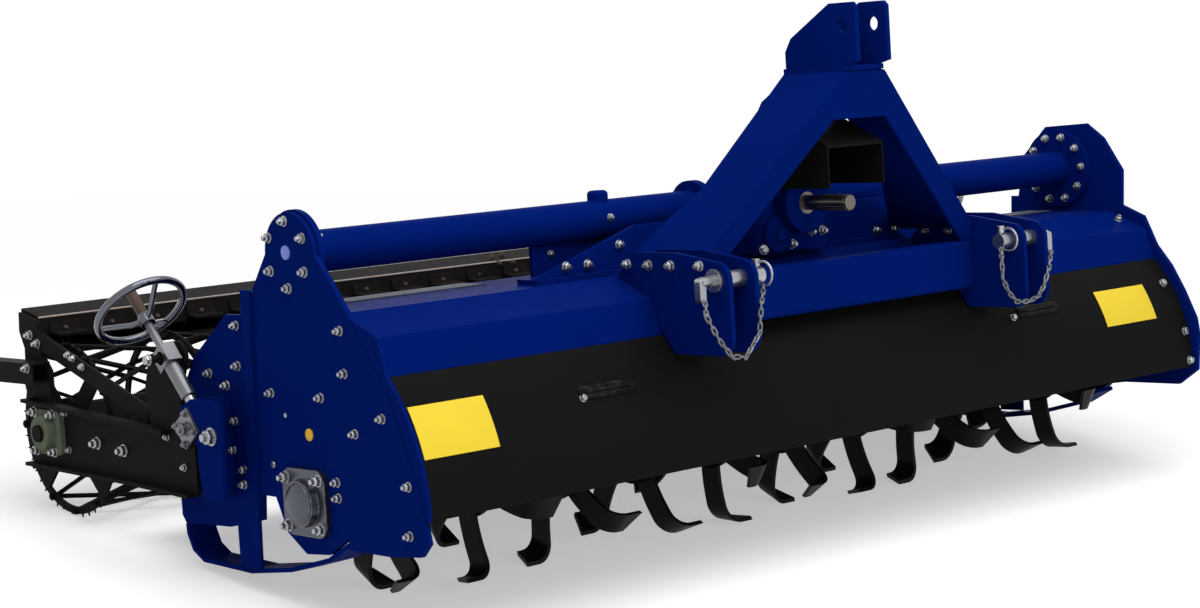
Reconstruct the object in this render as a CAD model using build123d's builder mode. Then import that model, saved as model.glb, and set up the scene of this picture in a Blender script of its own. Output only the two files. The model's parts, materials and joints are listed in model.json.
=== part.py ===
"""Tractor-mounted rotary tiller, 2.5 m wide, with a rear packer roller.

Millimetres. World frame: +X across the machine, to the right of someone who faces it from the
tractor's side, +Y to the rear, away from the tractor, +Z up, with the floor at Z = 0.

The machine stands as it is parked: on its rotor blades and on its roller, which leans it back
a little. Every profile is drawn in the machine's own upright frame (x across, y rearwards from
the rotor axis, z up from the blade tips), and the helper planes below put it in the world.
"""

import math
import os

from build123d import *

os.makedirs("parts", exist_ok=True)

# ---------------------------------------------------------------- driving sizes
FIT = 0.08               # radial clearance of a shaft in its bearing
ROTOR_R = 240.0          # blade tip circle
ROTOR_Z = ROTOR_R        # rotor axis above the blade tips
SIDE_OUT = 1276.0        # outer face of the side plates, from the middle plane
PLATE = 12.0             # side plate thickness
SIDE_IN = SIDE_OUT - PLATE

TUBE_Y, TUBE_Z = 8.0, 758.0     # axis of the upper cross tube
TUBE_R = 45.0

HEAD_X = 14.0            # the headstock stands a little to the right of the middle plane
HITCH_HALF = 490.0       # half the spacing of the lower hitch points
HITCH_Y, HITCH_Z = -472.0, 637.0
HITCH_PIN_R = 18.3
LUG_R = 40.0             # rounding of the lugs, top and bottom
LUG_FOOT_Z = 515.0       # centre of the lugs' lower rounding
LUG_GAP = 66.0           # between the two ears of a lug
LUG_T = 12.0

PIVOT_Y, PIVOT_Z = 400.0, 375.0     # roller arm pivot
ROLLER_Y, ROLLER_Z = 1000.0, 328.0  # roller axis
ROLLER_R = 205.0
BAR_END_Y, BAR_Z, BAR_H = 1265.0, 468.0, 50.0   # square tube on the roller frame, fore and aft

SIDES = (("left", -1), ("right", 1))   # name, sign of X

# ---------------------------------------------------------------- stance
AXIS_GAP = math.hypot(ROLLER_Y, ROLLER_Z - ROTOR_Z)
LEAN = math.atan2(ROLLER_Z - ROTOR_Z, ROLLER_Y) + math.asin((ROTOR_R - ROLLER_R) / AXIS_GAP)


def reach(y, z):
    """World Y of a point of the machine, measured from the rotor axis."""
    return y * math.cos(LEAN) + (z - ROTOR_Z) * math.sin(LEAN)


FRONT = reach(HITCH_Y, LUG_FOOT_Z) - LUG_R
REAR = reach(BAR_END_Y, BAR_Z + BAR_H / 2)
ROTOR_Y = -(FRONT + REAR) / 2

MACHINE = Plane(
    origin=(0, ROTOR_Y - ROTOR_Z * math.sin(LEAN), ROTOR_R - ROTOR_Z * math.cos(LEAN)),
    x_dir=(1, 0, 0),
    z_dir=(0, math.sin(LEAN), math.cos(LEAN)),
)


def plane_at(x, y, z, x_dir, z_dir):
    """Plane with its origin at a point of the machine, its axes given in the machine's frame."""
    place = Plane(origin=(x, y, z), x_dir=x_dir, z_dir=z_dir)
    return Plane(MACHINE.location * place.location)


def side_at(x):
    """Plane facing +X at x; its own x runs rearwards and its y up."""
    return plane_at(x, 0, 0, (0, 1, 0), (1, 0, 0))


def front_at(y, x=0.0):
    """Plane facing the tractor at y; its own x runs across from x and its y up."""
    return plane_at(x, y, 0, (1, 0, 0), (0, -1, 0))


def level_at(z, x=0.0):
    """Plane facing up at z; its own x runs across from x and its y rearwards."""
    return plane_at(x, 0, z, (1, 0, 0), (0, 0, 1))


# ---------------------------------------------------------------- side plates
NECK_R = 87.0                     # rounded head of the left plate, about the tube axis
SEAM_TOP = (153.0, 681.0)         # rear edge, where the bracket panel joins
SEAM_FOOT = (172.0, 241.0)
JOURNAL_R = 36.0                  # rotor stub shaft
JOURNAL_GAP = 6.0                 # round the stub where it passes a side plate
PLATE_FOOT = ((-131.0, 173.0), (-60.0, 134.0), (20.0, 128.0), (84.0, 168.0), (120.0, 241.0))
PLATE_FRONT = {
    "left": (
        (95.0, 758.0), (-79.0, 758.0), (-131.0, 700.0), (-176.0, 645.0), (-212.0, 585.0), (-292.0, 491.0),
        (-344.0, 374.0), (-382.0, 277.0), (-400.0, 188.0), (-372.0, 160.0), (-268.0, 151.0), (-136.0, 151.0),
    ),
    "right": (
        (126.0, 795.0), (49.0, 870.0), (-87.0, 876.0), (-141.0, 836.0), (-199.0, 749.0), (-194.0, 656.0),
        (-263.0, 627.0), (-300.0, 550.0), (-343.0, 498.0), (-381.0, 432.0), (-415.0, 360.0), (-422.0, 315.0),
        (-414.0, 223.0), (-355.0, 183.0), (-182.0, 180.0),
    ),
}
for side, sign in SIDES:
    with BuildPart() as side_plate:
        with BuildSketch(side_at(sign * SIDE_IN)):
            Polygon(*PLATE_FRONT[side], *PLATE_FOOT, SEAM_FOOT, SEAM_TOP, align=None)
            with Locations((TUBE_Y, TUBE_Z)):
                Circle(NECK_R)
            with Locations((0, ROTOR_Z)):
                Circle(JOURNAL_R + JOURNAL_GAP, mode=Mode.SUBTRACT)
        extrude(amount=sign * PLATE)
    side_plate.part.label = f"side_plate_{side}"
    export_step(side_plate.part, f"parts/side_plate_{side}.step")

# ---------------------------------------------------------------- rear panels, posts and skids
PANEL_OUTLINE = (
    SEAM_FOOT, SEAM_TOP, (167.0, 627.0), (263.0, 625.0), (400.0, 527.0), (440.0, 470.0), (446.0, 330.0),
    (470.0, 300.0), (483.0, 250.0), (494.0, 214.0), (494.0, 170.0), (480.0, 152.0), (300.0, 160.0),
    (178.0, 185.0),
)
POST_T = 8.0                      # how far a post stands out from the side plate's outer face
POST_OUTLINE = (
    (155.0, 681.0), (188.0, 681.0), (207.0, 300.0), (262.0, 232.0), (262.0, 78.0), (185.0, 80.0),
    (178.0, 241.0),
)
SKID_T = 10.0
SKID_W = 72.0
SKID_PATH = (
    (-132.0, 156.0), (-60.0, 118.0), (20.0, 98.0), (81.0, 83.0), (234.0, 64.0), (421.0, 70.0),
    (462.0, 92.0), (481.0, 128.0), (483.0, 151.0),
)
PIVOT_PIN_R = 17.0
PIVOT_HEAD_R, PIVOT_HEAD_T = 27.0, 8.0    # the pin's head, inside the panel
PIVOT_END = 24.0                  # how far the pin stands out beyond the roller arm
for side, sign in SIDES:
    with BuildPart() as rear_panel:
        with BuildSketch(side_at(sign * SIDE_IN)):
            Polygon(*PANEL_OUTLINE, align=None)
            with Locations((PIVOT_Y, PIVOT_Z)):
                Circle(PIVOT_PIN_R, mode=Mode.SUBTRACT)
        extrude(amount=sign * PLATE)
    rear_panel.part.label = f"rear_panel_{side}"
    export_step(rear_panel.part, f"parts/rear_panel_{side}.step")

    with BuildPart() as skid:
        with BuildSketch(side_at(sign * SIDE_OUT)):
            with BuildLine():
                Polyline(*SKID_PATH)
                offset(amount=SKID_T, side=Side.LEFT, closed=True)
            make_face()
        extrude(amount=-sign * SKID_W)
    skid.part.label = f"skid_{side}"
    export_step(skid.part, f"parts/skid_{side}.step")

    with BuildPart() as post:
        with BuildSketch(side_at(sign * SIDE_OUT)):
            Polygon(*POST_OUTLINE, align=None)
        extrude(amount=sign * POST_T)
    post.part.label = f"post_{side}"
    export_step(post.part, f"parts/post_{side}.step")

# ---------------------------------------------------------------- roller arm pivots and jack brackets
ARM_IN = SIDE_OUT + 14.0          # inner face of a roller arm
ARM_T = 10.0
ARM_OUT = ARM_IN + ARM_T
JACK_X = SIDE_OUT + 48.0          # plane of the adjusting screws
JACK_FOOT = Vector(322.0, 414.0)  # pin that holds the screw's rod to the frame
JACK_TILT = math.radians(47.0)    # the screw's slope above the horizontal
JACK_WAY = Vector(math.cos(JACK_TILT), math.sin(JACK_TILT))
EYE_AT = 160.0                    # from the foot pin to the trunnion on the roller arm's lever
JACK_EYE = JACK_FOOT + JACK_WAY * EYE_AT
JACK_PIN_R = 10.0
BRACKET_IN = JACK_X + 22.0
BRACKET_T = 10.0
BRACKET_OUTLINE = (
    (190.0, 450.0), (300.0, 450.0), (340.0, 432.0), (346.0, 402.0), (300.0, 378.0), (285.0, 345.0),
    (288.0, 320.0), (276.0, 235.0), (196.0, 235.0),
)
BRACKET_WEB = ((268.0, 235.0), (283.0, 235.0), (283.0, 450.0), (268.0, 450.0))
for side, sign in SIDES:
    with BuildPart() as arm_pin:
        with BuildSketch(side_at(sign * SIDE_IN)):
            with Locations((PIVOT_Y, PIVOT_Z)):
                Circle(PIVOT_PIN_R)
        extrude(amount=sign * (ARM_OUT + PIVOT_END - SIDE_IN))
        with BuildSketch(side_at(sign * SIDE_IN)):
            with Locations((PIVOT_Y, PIVOT_Z)):
                Circle(PIVOT_HEAD_R)
        extrude(amount=-sign * PIVOT_HEAD_T)
    arm_pin.part.label = f"arm_pin_{side}"
    export_step(arm_pin.part, f"parts/arm_pin_{side}.step")

    with BuildPart() as jack_bracket:
        with BuildSketch(side_at(sign * BRACKET_IN)):
            Polygon(*BRACKET_OUTLINE, align=None)
        extrude(amount=sign * BRACKET_T)
        with BuildSketch(side_at(sign * SIDE_OUT)):
            Polygon(*BRACKET_WEB, align=None)
        extrude(amount=sign * (BRACKET_IN - SIDE_OUT))
        with BuildSketch(side_at(sign * SIDE_OUT)):
            with Locations(JACK_FOOT):
                Circle(JACK_PIN_R)
        extrude(amount=sign * (BRACKET_IN - SIDE_OUT))
    jack_bracket.part.label = f"jack_bracket_{side}"
    export_step(jack_bracket.part, f"parts/jack_bracket_{side}.step")

# ---------------------------------------------------------------- cross tube and gearbox
GEARBOX_HALF = 120.0
GEARBOX_Y = (-200.0, 100.0)
GEARBOX_CORNER, GEARBOX_BEVEL = 30.0, 14.0
BASE_T = 12.0
HOOD_TOP = 640.0
GEARBOX_Z = (HOOD_TOP + BASE_T, 790.0)
CROWN_HALF = 72.0                 # raised housing of the bevel gears, on the front part of the gearbox
CROWN_Y = (-200.0, -50.0)
CROWN_TOP, CROWN_CORNER = 866.0, 34.0
HUB_R, HUB_L = 70.0, 40.0
NECK_T, NECK_OUT_R = 22.0, 68.0   # flanges that the cross tubes are bolted to
INPUT_Z = 762.0
INPUT_R = 17.5
INPUT_L = 136.0                   # stub beyond the hub
SEAT_R, SEAT_L = 26.0, 60.0       # the part of the input shaft inside the hub
RING_R, RING_T = {"left": 92.0, "right": 104.0}, 14.0
with BuildPart() as gearbox:
    with BuildSketch(level_at(GEARBOX_Z[0], HEAD_X)):
        with Locations((0, sum(GEARBOX_Y) / 2)):
            RectangleRounded(2 * GEARBOX_HALF, GEARBOX_Y[1] - GEARBOX_Y[0], GEARBOX_CORNER)
    extrude(amount=GEARBOX_Z[1] - GEARBOX_Z[0])
    chamfer(gearbox.faces().sort_by(Axis.Z)[-1].edges(), GEARBOX_BEVEL)
    with BuildSketch(front_at(CROWN_Y[1], HEAD_X)):
        with Locations((0, (GEARBOX_Z[0] + CROWN_TOP) / 2)):
            RectangleRounded(2 * CROWN_HALF, CROWN_TOP - GEARBOX_Z[0], CROWN_CORNER)
    extrude(amount=CROWN_Y[1] - CROWN_Y[0])
    for _, sign in SIDES:
        with BuildSketch(side_at(HEAD_X + sign * GEARBOX_HALF)):
            with Locations((TUBE_Y, TUBE_Z)):
                Circle(NECK_OUT_R)
        extrude(amount=sign * NECK_T)
    with BuildSketch(front_at(GEARBOX_Y[0], HEAD_X)):
        with Locations((0, INPUT_Z)):
            Circle(HUB_R)
    extrude(amount=HUB_L)
    with BuildSketch(front_at(GEARBOX_Y[0] - HUB_L, HEAD_X)):
        with Locations((0, INPUT_Z)):
            Circle(SEAT_R + FIT)
    extrude(amount=-SEAT_L, mode=Mode.SUBTRACT)
gearbox.part.label = "gearbox"
export_step(gearbox.part, "parts/gearbox.step")

with BuildPart() as input_shaft:
    with BuildSketch(front_at(GEARBOX_Y[0] - HUB_L, HEAD_X)):
        with Locations((0, INPUT_Z)):
            Circle(SEAT_R)
    extrude(amount=-SEAT_L)
    with BuildSketch(front_at(GEARBOX_Y[0] - HUB_L, HEAD_X)):
        with Locations((0, INPUT_Z)):
            Circle(INPUT_R)
    extrude(amount=INPUT_L)
input_shaft.part.label = "input_shaft"
export_step(input_shaft.part, "parts/input_shaft.step")

FILLER_X, FILLER_R, FILLER_H = -416.0, 24.0, 22.0   # breather on top of the left tube
FILLER_ROUNDING = 10.0
for side, sign in SIDES:
    inner = abs(sign * (GEARBOX_HALF + NECK_T) + HEAD_X)
    with BuildPart() as tube:
        with BuildSketch(side_at(sign * inner)):
            with Locations((TUBE_Y, TUBE_Z)):
                Circle(TUBE_R)
        extrude(amount=sign * (SIDE_IN - inner))
        with BuildSketch(side_at(sign * (SIDE_IN - RING_T))):
            with Locations((TUBE_Y, TUBE_Z)):
                Circle(RING_R[side])
        extrude(amount=sign * RING_T)
        if side == "left":
            with BuildSketch(level_at(TUBE_Z, FILLER_X)):
                with Locations((0, TUBE_Y)):
                    Circle(FILLER_R)
            extrude(amount=TUBE_R + FILLER_H)
            fillet(tube.faces().sort_by(Axis.Z)[-1].edges(), FILLER_ROUNDING)
    tube.part.label = f"tube_{side}"
    export_step(tube.part, f"parts/tube_{side}.step")

# ---------------------------------------------------------------- hood, front beam and front shield
HOOD_T = 6.0
HOOD_PATH = ((-130.0, 640.0), (120.0, 640.0), (260.0, 585.0), (395.0, 490.0), (425.0, 440.0))
HINGE_R, HINGE_PIN_R = 8.0, 5.0
HINGE_DROP = 13.0                 # hinge axis beyond the hood's rear edge
HINGE_X = (-900.0, 0.0, 900.0)
HINGE_L = 120.0
hood_end = Vector(*HOOD_PATH[-1])
hood_fall = (hood_end - Vector(*HOOD_PATH[-2])).normalized()
hood_under = Vector(hood_fall.Y, -hood_fall.X)
hinge = hood_end + hood_fall * HINGE_DROP + hood_under * (HOOD_T / 2)
BEAM_OUTLINE = (
    (-130.0, 640.0), (-159.0, 640.0), (-271.0, 594.0), (-290.0, 514.0), (-262.0, 506.0), (-130.0, 590.0),
)
BEAM_WALL = 8.0
SHIELD_R, SHIELD_T = 402.0, 6.0
SHIELD_ARC = (136.9, 181.0)       # from top to bottom, degrees about the rotor axis
with BuildPart() as hood:
    with BuildSketch(side_at(-SIDE_IN)):
        with BuildLine():
            Polyline(*HOOD_PATH)
            offset(amount=HOOD_T, side=Side.RIGHT, closed=True)
        make_face()
    extrude(amount=2 * SIDE_IN)
    for hinge_x in HINGE_X:
        with BuildSketch(side_at(hinge_x - HINGE_L / 2)):
            Polygon(
                hood_end - hood_fall * HOOD_T, hinge - hood_under * (HOOD_T / 2),
                hinge + hood_under * (HOOD_T / 2), hood_end - hood_fall * HOOD_T + hood_under * HOOD_T,
                align=None,
            )
            with Locations(hinge):
                Circle(HINGE_R)
                Circle(HINGE_PIN_R, mode=Mode.SUBTRACT)
        extrude(amount=HINGE_L)
hood.part.label = "hood"
export_step(hood.part, "parts/hood.step")

with BuildPart() as front_beam:
    with BuildSketch(side_at(-SIDE_IN)):
        Polygon(*BEAM_OUTLINE, align=None)
        offset(amount=-BEAM_WALL, mode=Mode.SUBTRACT)
    extrude(amount=2 * SIDE_IN)
front_beam.part.label = "front_beam"
export_step(front_beam.part, "parts/front_beam.step")

with BuildPart() as front_shield:
    with BuildSketch(side_at(-SIDE_IN)):
        with BuildLine():
            CenterArc((0, ROTOR_Z), SHIELD_R, SHIELD_ARC[0], SHIELD_ARC[1] - SHIELD_ARC[0])
            offset(amount=SHIELD_T, side=Side.LEFT, closed=True)
        make_face()
    extrude(amount=2 * SIDE_IN)
front_shield.part.label = "front_shield"
export_step(front_shield.part, "parts/front_shield.step")

# ---------------------------------------------------------------- headstock
APEX_Z = 1062.0
APEX_HALF = 65.0                  # half width of the headstock at its top
OPENING_TOP = (86.0, 954.0)       # upper inner corner of the opening, from the headstock's middle
EAR_IN = HITCH_HALF - LUG_GAP / 2 - LUG_T
SHOULDER_Z = 679.0                # where the legs' outer edges meet the inner ears
FOOT_Z = 636.0
FOOT_IN = 418.0
FACE_FOOT_Y = -346.0              # the headstock's face leans forward, from its foot
FACE_APEX_Y = -443.7
FACE_T = 12.0
FACE_LEAN = math.atan2(FACE_FOOT_Y - FACE_APEX_Y, APEX_Z - FOOT_Z)
FACE = plane_at(
    HEAD_X, FACE_FOOT_Y, FOOT_Z, (1, 0, 0), (0, -math.cos(FACE_LEAN), -math.sin(FACE_LEAN))
)


def up_face(z):
    """Distance up the leaning face that reaches height z."""
    return (z - FOOT_Z) / math.cos(FACE_LEAN)


def mirrored(points):
    """The points, then their mirror images in reverse order, so that they close an outline."""
    return tuple(points) + tuple((-x, y) for x, y in reversed(points))


with BuildPart() as headstock_face:
    with BuildSketch(FACE):
        Polygon(
            *mirrored((
                (APEX_HALF, up_face(APEX_Z) - FACE_T * math.tan(FACE_LEAN)),
                (EAR_IN, up_face(SHOULDER_Z)), (EAR_IN, 0.0),
                (FOOT_IN, 0.0), (OPENING_TOP[0], up_face(OPENING_TOP[1])),
            )),
            align=None,
        )
    extrude(amount=-FACE_T)
headstock_face.part.label = "headstock_face"
export_step(headstock_face.part, "parts/headstock_face.step")

WEB_W = 17.0                      # web thickness measured across, on the legs' slope
LEG_BACK = -112.0                 # rear edge of a leg's foot
WEB_SIDE = ((-250.0, APEX_Z), (-209.0, 818.0), (LEG_BACK, 690.0), (LEG_BACK, 640.0))
LEG_BLANK = 400.0                 # depth of the slanting web before it is cut to its side outline
FACE_BACK = FACE_T / math.cos(FACE_LEAN)
for side, sign in SIDES:
    with BuildPart() as leg:
        with BuildSketch(front_at(LEG_BACK, HEAD_X)):
            Polygon(
                (sign * (APEX_HALF - WEB_W), APEX_Z), (sign * APEX_HALF, APEX_Z),
                (sign * EAR_IN, SHOULDER_Z),
                (sign * EAR_IN, SHOULDER_Z - WEB_W), align=None,
            )
        extrude(amount=LEG_BLANK)
        with BuildSketch(side_at(HEAD_X)):
            Polygon(
                (FACE_APEX_Y + FACE_BACK, APEX_Z), (FACE_FOOT_Y + FACE_BACK, FOOT_Z), *reversed(WEB_SIDE),
                align=None,
            )
        extrude(amount=sign * EAR_IN, mode=Mode.INTERSECT)
    leg.part.label = f"headstock_leg_{side}"
    export_step(leg.part, f"parts/headstock_leg_{side}.step")

# Ears of the lower hitch, two on each side, on the front beam
EAR_OUTLINE = (
    (HITCH_Y - LUG_R, LUG_FOOT_Z), (HITCH_Y - LUG_R, HITCH_Z), (HITCH_Y, HITCH_Z + LUG_R), (-350.0, 695.0),
    (-215.0, 695.0), *BEAM_OUTLINE[1:3], (-285.25, 534.0), (-334.0, 475.0), (HITCH_Y, LUG_FOOT_Z - LUG_R),
)
EAR_OUT = EAR_IN + 2 * LUG_T + LUG_GAP
PIN_TAIL = 45.0                   # how far a hitch pin stands out for its linch pin
COLLAR_T = 8.0
NECK_PIN_R, NECK_PIN_L = 12.0, 38.0
GRIP_R, GRIP_L = 9.0, 52.0        # handle at the pin's outer end, hanging down
for side, sign in SIDES:
    with BuildPart() as lug:
        for ear_x in (EAR_IN, EAR_IN + LUG_T + LUG_GAP):
            with BuildSketch(side_at(HEAD_X + sign * ear_x)):
                Polygon(*EAR_OUTLINE, align=None)
                with Locations((HITCH_Y, HITCH_Z), (HITCH_Y, LUG_FOOT_Z)):
                    Circle(LUG_R)
                with Locations((HITCH_Y, HITCH_Z)):
                    Circle(HITCH_PIN_R, mode=Mode.SUBTRACT)
            extrude(amount=sign * LUG_T)
    lug.part.label = f"hitch_lug_{side}"
    export_step(lug.part, f"parts/hitch_lug_{side}.step")

    with BuildPart() as hitch_pin:
        with BuildSketch(side_at(HEAD_X + sign * (EAR_IN - PIN_TAIL))):
            with Locations((HITCH_Y, HITCH_Z)):
                Circle(HITCH_PIN_R)
        extrude(amount=sign * (PIN_TAIL + EAR_OUT - EAR_IN))
        with BuildSketch(side_at(HEAD_X + sign * EAR_OUT)):
            with Locations((HITCH_Y, HITCH_Z)):
                Circle(HITCH_PIN_R + 7)
        extrude(amount=sign * COLLAR_T)
        with BuildSketch(side_at(HEAD_X + sign * (EAR_OUT + COLLAR_T))):
            with Locations((HITCH_Y, HITCH_Z)):
                Circle(NECK_PIN_R)
        extrude(amount=sign * NECK_PIN_L)
        with BuildSketch(front_at(HITCH_Y + GRIP_R, HEAD_X + sign * (EAR_OUT + COLLAR_T + NECK_PIN_L))):
            with Locations((0, HITCH_Z - GRIP_L / 2 + GRIP_R)):
                RectangleRounded(2 * GRIP_R, GRIP_L, GRIP_R - 0.5)
        extrude(amount=2 * GRIP_R)
    hitch_pin.part.label = f"hitch_pin_{side}"
    export_step(hitch_pin.part, f"parts/hitch_pin_{side}.step")

CROSS_Y = (-352.0, -292.0)
CROSS_Z = (520.0, FOOT_Z)
CROSS_WALL, CROSS_CORNER = 8.0, 12.0
with BuildPart() as cross_member:
    with BuildSketch(side_at(HEAD_X - EAR_IN)):
        with Locations((sum(CROSS_Y) / 2, sum(CROSS_Z) / 2)):
            RectangleRounded(CROSS_Y[1] - CROSS_Y[0], CROSS_Z[1] - CROSS_Z[0], CROSS_CORNER)
        offset(amount=-CROSS_WALL, mode=Mode.SUBTRACT)
    extrude(amount=2 * EAR_IN)
cross_member.part.label = "cross_member"
export_step(cross_member.part, "parts/cross_member.step")

# Base plate bolted on the hood under the gearbox, with a gusset on each side
BASE_OUT = 742.0
BASE_Y = (-129.0, -62.0)
PAD_EDGE = 30.0                   # pad under the gearbox, beyond it on each side
PAD_Y = (-124.0, 116.0)
with BuildPart() as base_plate:
    with BuildSketch(level_at(HOOD_TOP, HEAD_X)):
        with Locations((0, sum(BASE_Y) / 2)):
            Rectangle(2 * BASE_OUT, BASE_Y[1] - BASE_Y[0])
        with Locations((0, sum(PAD_Y) / 2)):
            Rectangle(2 * (GEARBOX_HALF + PAD_EDGE), PAD_Y[1] - PAD_Y[0])
    extrude(amount=BASE_T)
base_plate.part.label = "base_plate"
export_step(base_plate.part, "parts/base_plate.step")

GUSSET_Y, GUSSET_T = -112.0, 12.0
GUSSET_TOP = 745.0
GUSSET_SHOULDER = 430.0           # where the gusset's top starts to fall, from the headstock's middle
GUSSET_OUT = BASE_OUT - 10.0
RIB_OUT, RIB_Y, RIB_T = 640.0, 8.0, 10.0     # rib between the hood and the underside of a tube
with BuildPart() as gussets:
    for _, sign in SIDES:
        with BuildSketch(front_at(RIB_Y + RIB_T / 2, HEAD_X)):
            Polygon(
                (sign * (GEARBOX_HALF + PAD_EDGE), HOOD_TOP), (sign * RIB_OUT, HOOD_TOP),
                (sign * RIB_OUT, TUBE_Z - TUBE_R), (sign * (GEARBOX_HALF + PAD_EDGE), TUBE_Z - TUBE_R),
                align=None,
            )
        extrude(amount=RIB_T)
        with BuildSketch(front_at(GUSSET_Y, HEAD_X)):
            Polygon(
                (sign * GEARBOX_HALF, HOOD_TOP + BASE_T), (sign * GUSSET_OUT, HOOD_TOP + BASE_T),
                (sign * GUSSET_SHOULDER, GUSSET_TOP), (sign * GEARBOX_HALF, GUSSET_TOP), align=None,
            )
        extrude(amount=-GUSSET_T)
gussets.part.label = "gussets"
export_step(gussets.part, "parts/gussets.step")

# Top link bracket and the stays that run back from it to the gearbox
CHEEK_T = 12.0
CHEEK_HALF = 57.0
TOP_PIN_Y, TOP_PIN_Z, TOP_PIN_R = -430.0, 1165.0, 16.3
CAP_Y = (-440.0, -250.0)          # from the headstock's face to the rear edge of its legs
CHEEK_OUTLINE = (
    (CAP_Y[1], APEX_Z), (CAP_Y[1], 1112.0), (-269.0, 1142.0), (-393.0, 1215.0), (-462.0, 1215.0),
    (-472.0, 1205.0), (-472.0, 1082.0), (CAP_Y[0], 1074.0), (CAP_Y[0], APEX_Z),
)
CAP_T = 12.0
with BuildPart() as top_bracket:
    with BuildSketch(level_at(APEX_Z, HEAD_X)):
        with Locations((0, sum(CAP_Y) / 2)):
            Rectangle(2 * APEX_HALF, CAP_Y[1] - CAP_Y[0])
    extrude(amount=CAP_T)
    for _, sign in SIDES:
        with BuildSketch(side_at(HEAD_X + sign * (CHEEK_HALF - CHEEK_T))):
            Polygon(*CHEEK_OUTLINE, align=None)
            with Locations((TOP_PIN_Y, TOP_PIN_Z)):
                Circle(TOP_PIN_R, mode=Mode.SUBTRACT)
        extrude(amount=sign * CHEEK_T)
top_bracket.part.label = "top_bracket"
export_step(top_bracket.part, "parts/top_bracket.step")

STAY_X, STAY_T = 32.0, 10.0
STAY_FRONT = -194.0               # front edge of the stays' feet, behind the guard
STAY_OUTLINE = (
    (-330.0, APEX_Z), (CAP_Y[1], APEX_Z), (-150.0, 1000.0), (-58.0, CROWN_TOP),
    (STAY_FRONT, CROWN_TOP), (STAY_FRONT, 994.0),
)
with BuildPart() as stays:
    for _, sign in SIDES:
        with BuildSketch(side_at(HEAD_X + sign * STAY_X)):
            Polygon(*STAY_OUTLINE, align=None)
        extrude(amount=sign * STAY_T)
stays.part.label = "stays"
export_step(stays.part, "parts/stays.step")

# Guard over the input shaft, screwed to the front of the gearbox: open in front and below
GUARD_HALF, GUARD_T = 93.0, 4.0
GUARD_BACK, GUARD_FRONT = -200.0, -400.0
GUARD_CREST, GUARD_BROW = 990.0, 897.0     # top of the guard at its back and at its front
GUARD_FOOT = 800.0
GUARD_SEAT = INPUT_Z + HUB_R + 4.0         # lower edge of its back, over the hub
with BuildPart() as shaft_guard:
    with BuildSketch(side_at(HEAD_X - GUARD_HALF)):
        Polygon(
            (GUARD_BACK, GUARD_FOOT), (GUARD_BACK, GUARD_CREST),
            (GUARD_FRONT, GUARD_BROW), (GUARD_FRONT, GUARD_FOOT),
            align=None,
        )
    extrude(amount=2 * GUARD_HALF)
    with BuildSketch(side_at(HEAD_X - GUARD_HALF + GUARD_T)):
        Polygon(
            (GUARD_BACK + GUARD_T, GUARD_FOOT - GUARD_T), (GUARD_BACK + GUARD_T, GUARD_SEAT),
            (GUARD_BACK - GUARD_T, GUARD_SEAT), (GUARD_BACK - GUARD_T, GUARD_CREST - 2 * GUARD_T),
            (GUARD_FRONT - GUARD_T, GUARD_BROW - 2 * GUARD_T), (GUARD_FRONT - GUARD_T, GUARD_FOOT - GUARD_T),
            align=None,
        )
    extrude(amount=2 * (GUARD_HALF - GUARD_T), mode=Mode.SUBTRACT)
shaft_guard.part.label = "shaft_guard"
export_step(shaft_guard.part, "parts/shaft_guard.step")

# ---------------------------------------------------------------- side drive and rotor bearing
CASE_T = 70.0
CASE_TOP_R, CASE_FOOT_R = 98.0, 115.0
IDLER_Y, IDLER_Z, IDLER_R = 6.0, 500.0, 122.0      # the case swells round its middle gear
CASE_ROUNDING = 12.0
COVER_T, COVER_IN = 10.0, 14.0    # cover plate and how far it lies inside the case's rim
CASE_ROUND = (((TUBE_Y, TUBE_Z), CASE_TOP_R), ((IDLER_Y, IDLER_Z), IDLER_R), ((0, ROTOR_Z), CASE_FOOT_R))
HUB_OUT_R, HUB_OUT_T = 62.0, 22.0
DOME_SLOPE = 12.0                 # of the bearing covers' sides, degrees
with BuildPart() as gear_case:
    with BuildSketch(side_at(SIDE_OUT)):
        for place, radius in CASE_ROUND:
            with Locations(place):
                Circle(radius)
        make_hull()
    extrude(amount=CASE_T)
    fillet(gear_case.faces().sort_by(Axis.X)[-1].edges(), CASE_ROUNDING)
    with BuildSketch(side_at(SIDE_OUT)):
        with Locations((0, ROTOR_Z)):
            Circle(JOURNAL_R + FIT)
    extrude(amount=CASE_T / 2, mode=Mode.SUBTRACT)
gear_case.part.label = "gear_case"
export_step(gear_case.part, "parts/gear_case.step")

with BuildPart() as case_cover:
    with BuildSketch(side_at(SIDE_OUT + CASE_T)):
        for place, radius in CASE_ROUND:
            with Locations(place):
                Circle(radius - COVER_IN)
        make_hull()
    extrude(amount=COVER_T)
    with BuildSketch(side_at(SIDE_OUT + CASE_T + COVER_T)):
        with Locations((0, ROTOR_Z), (TUBE_Y, TUBE_Z)):
            Circle(HUB_OUT_R)
    extrude(amount=HUB_OUT_T, taper=DOME_SLOPE)
case_cover.part.label = "case_cover"
export_step(case_cover.part, "parts/case_cover.step")

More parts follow.
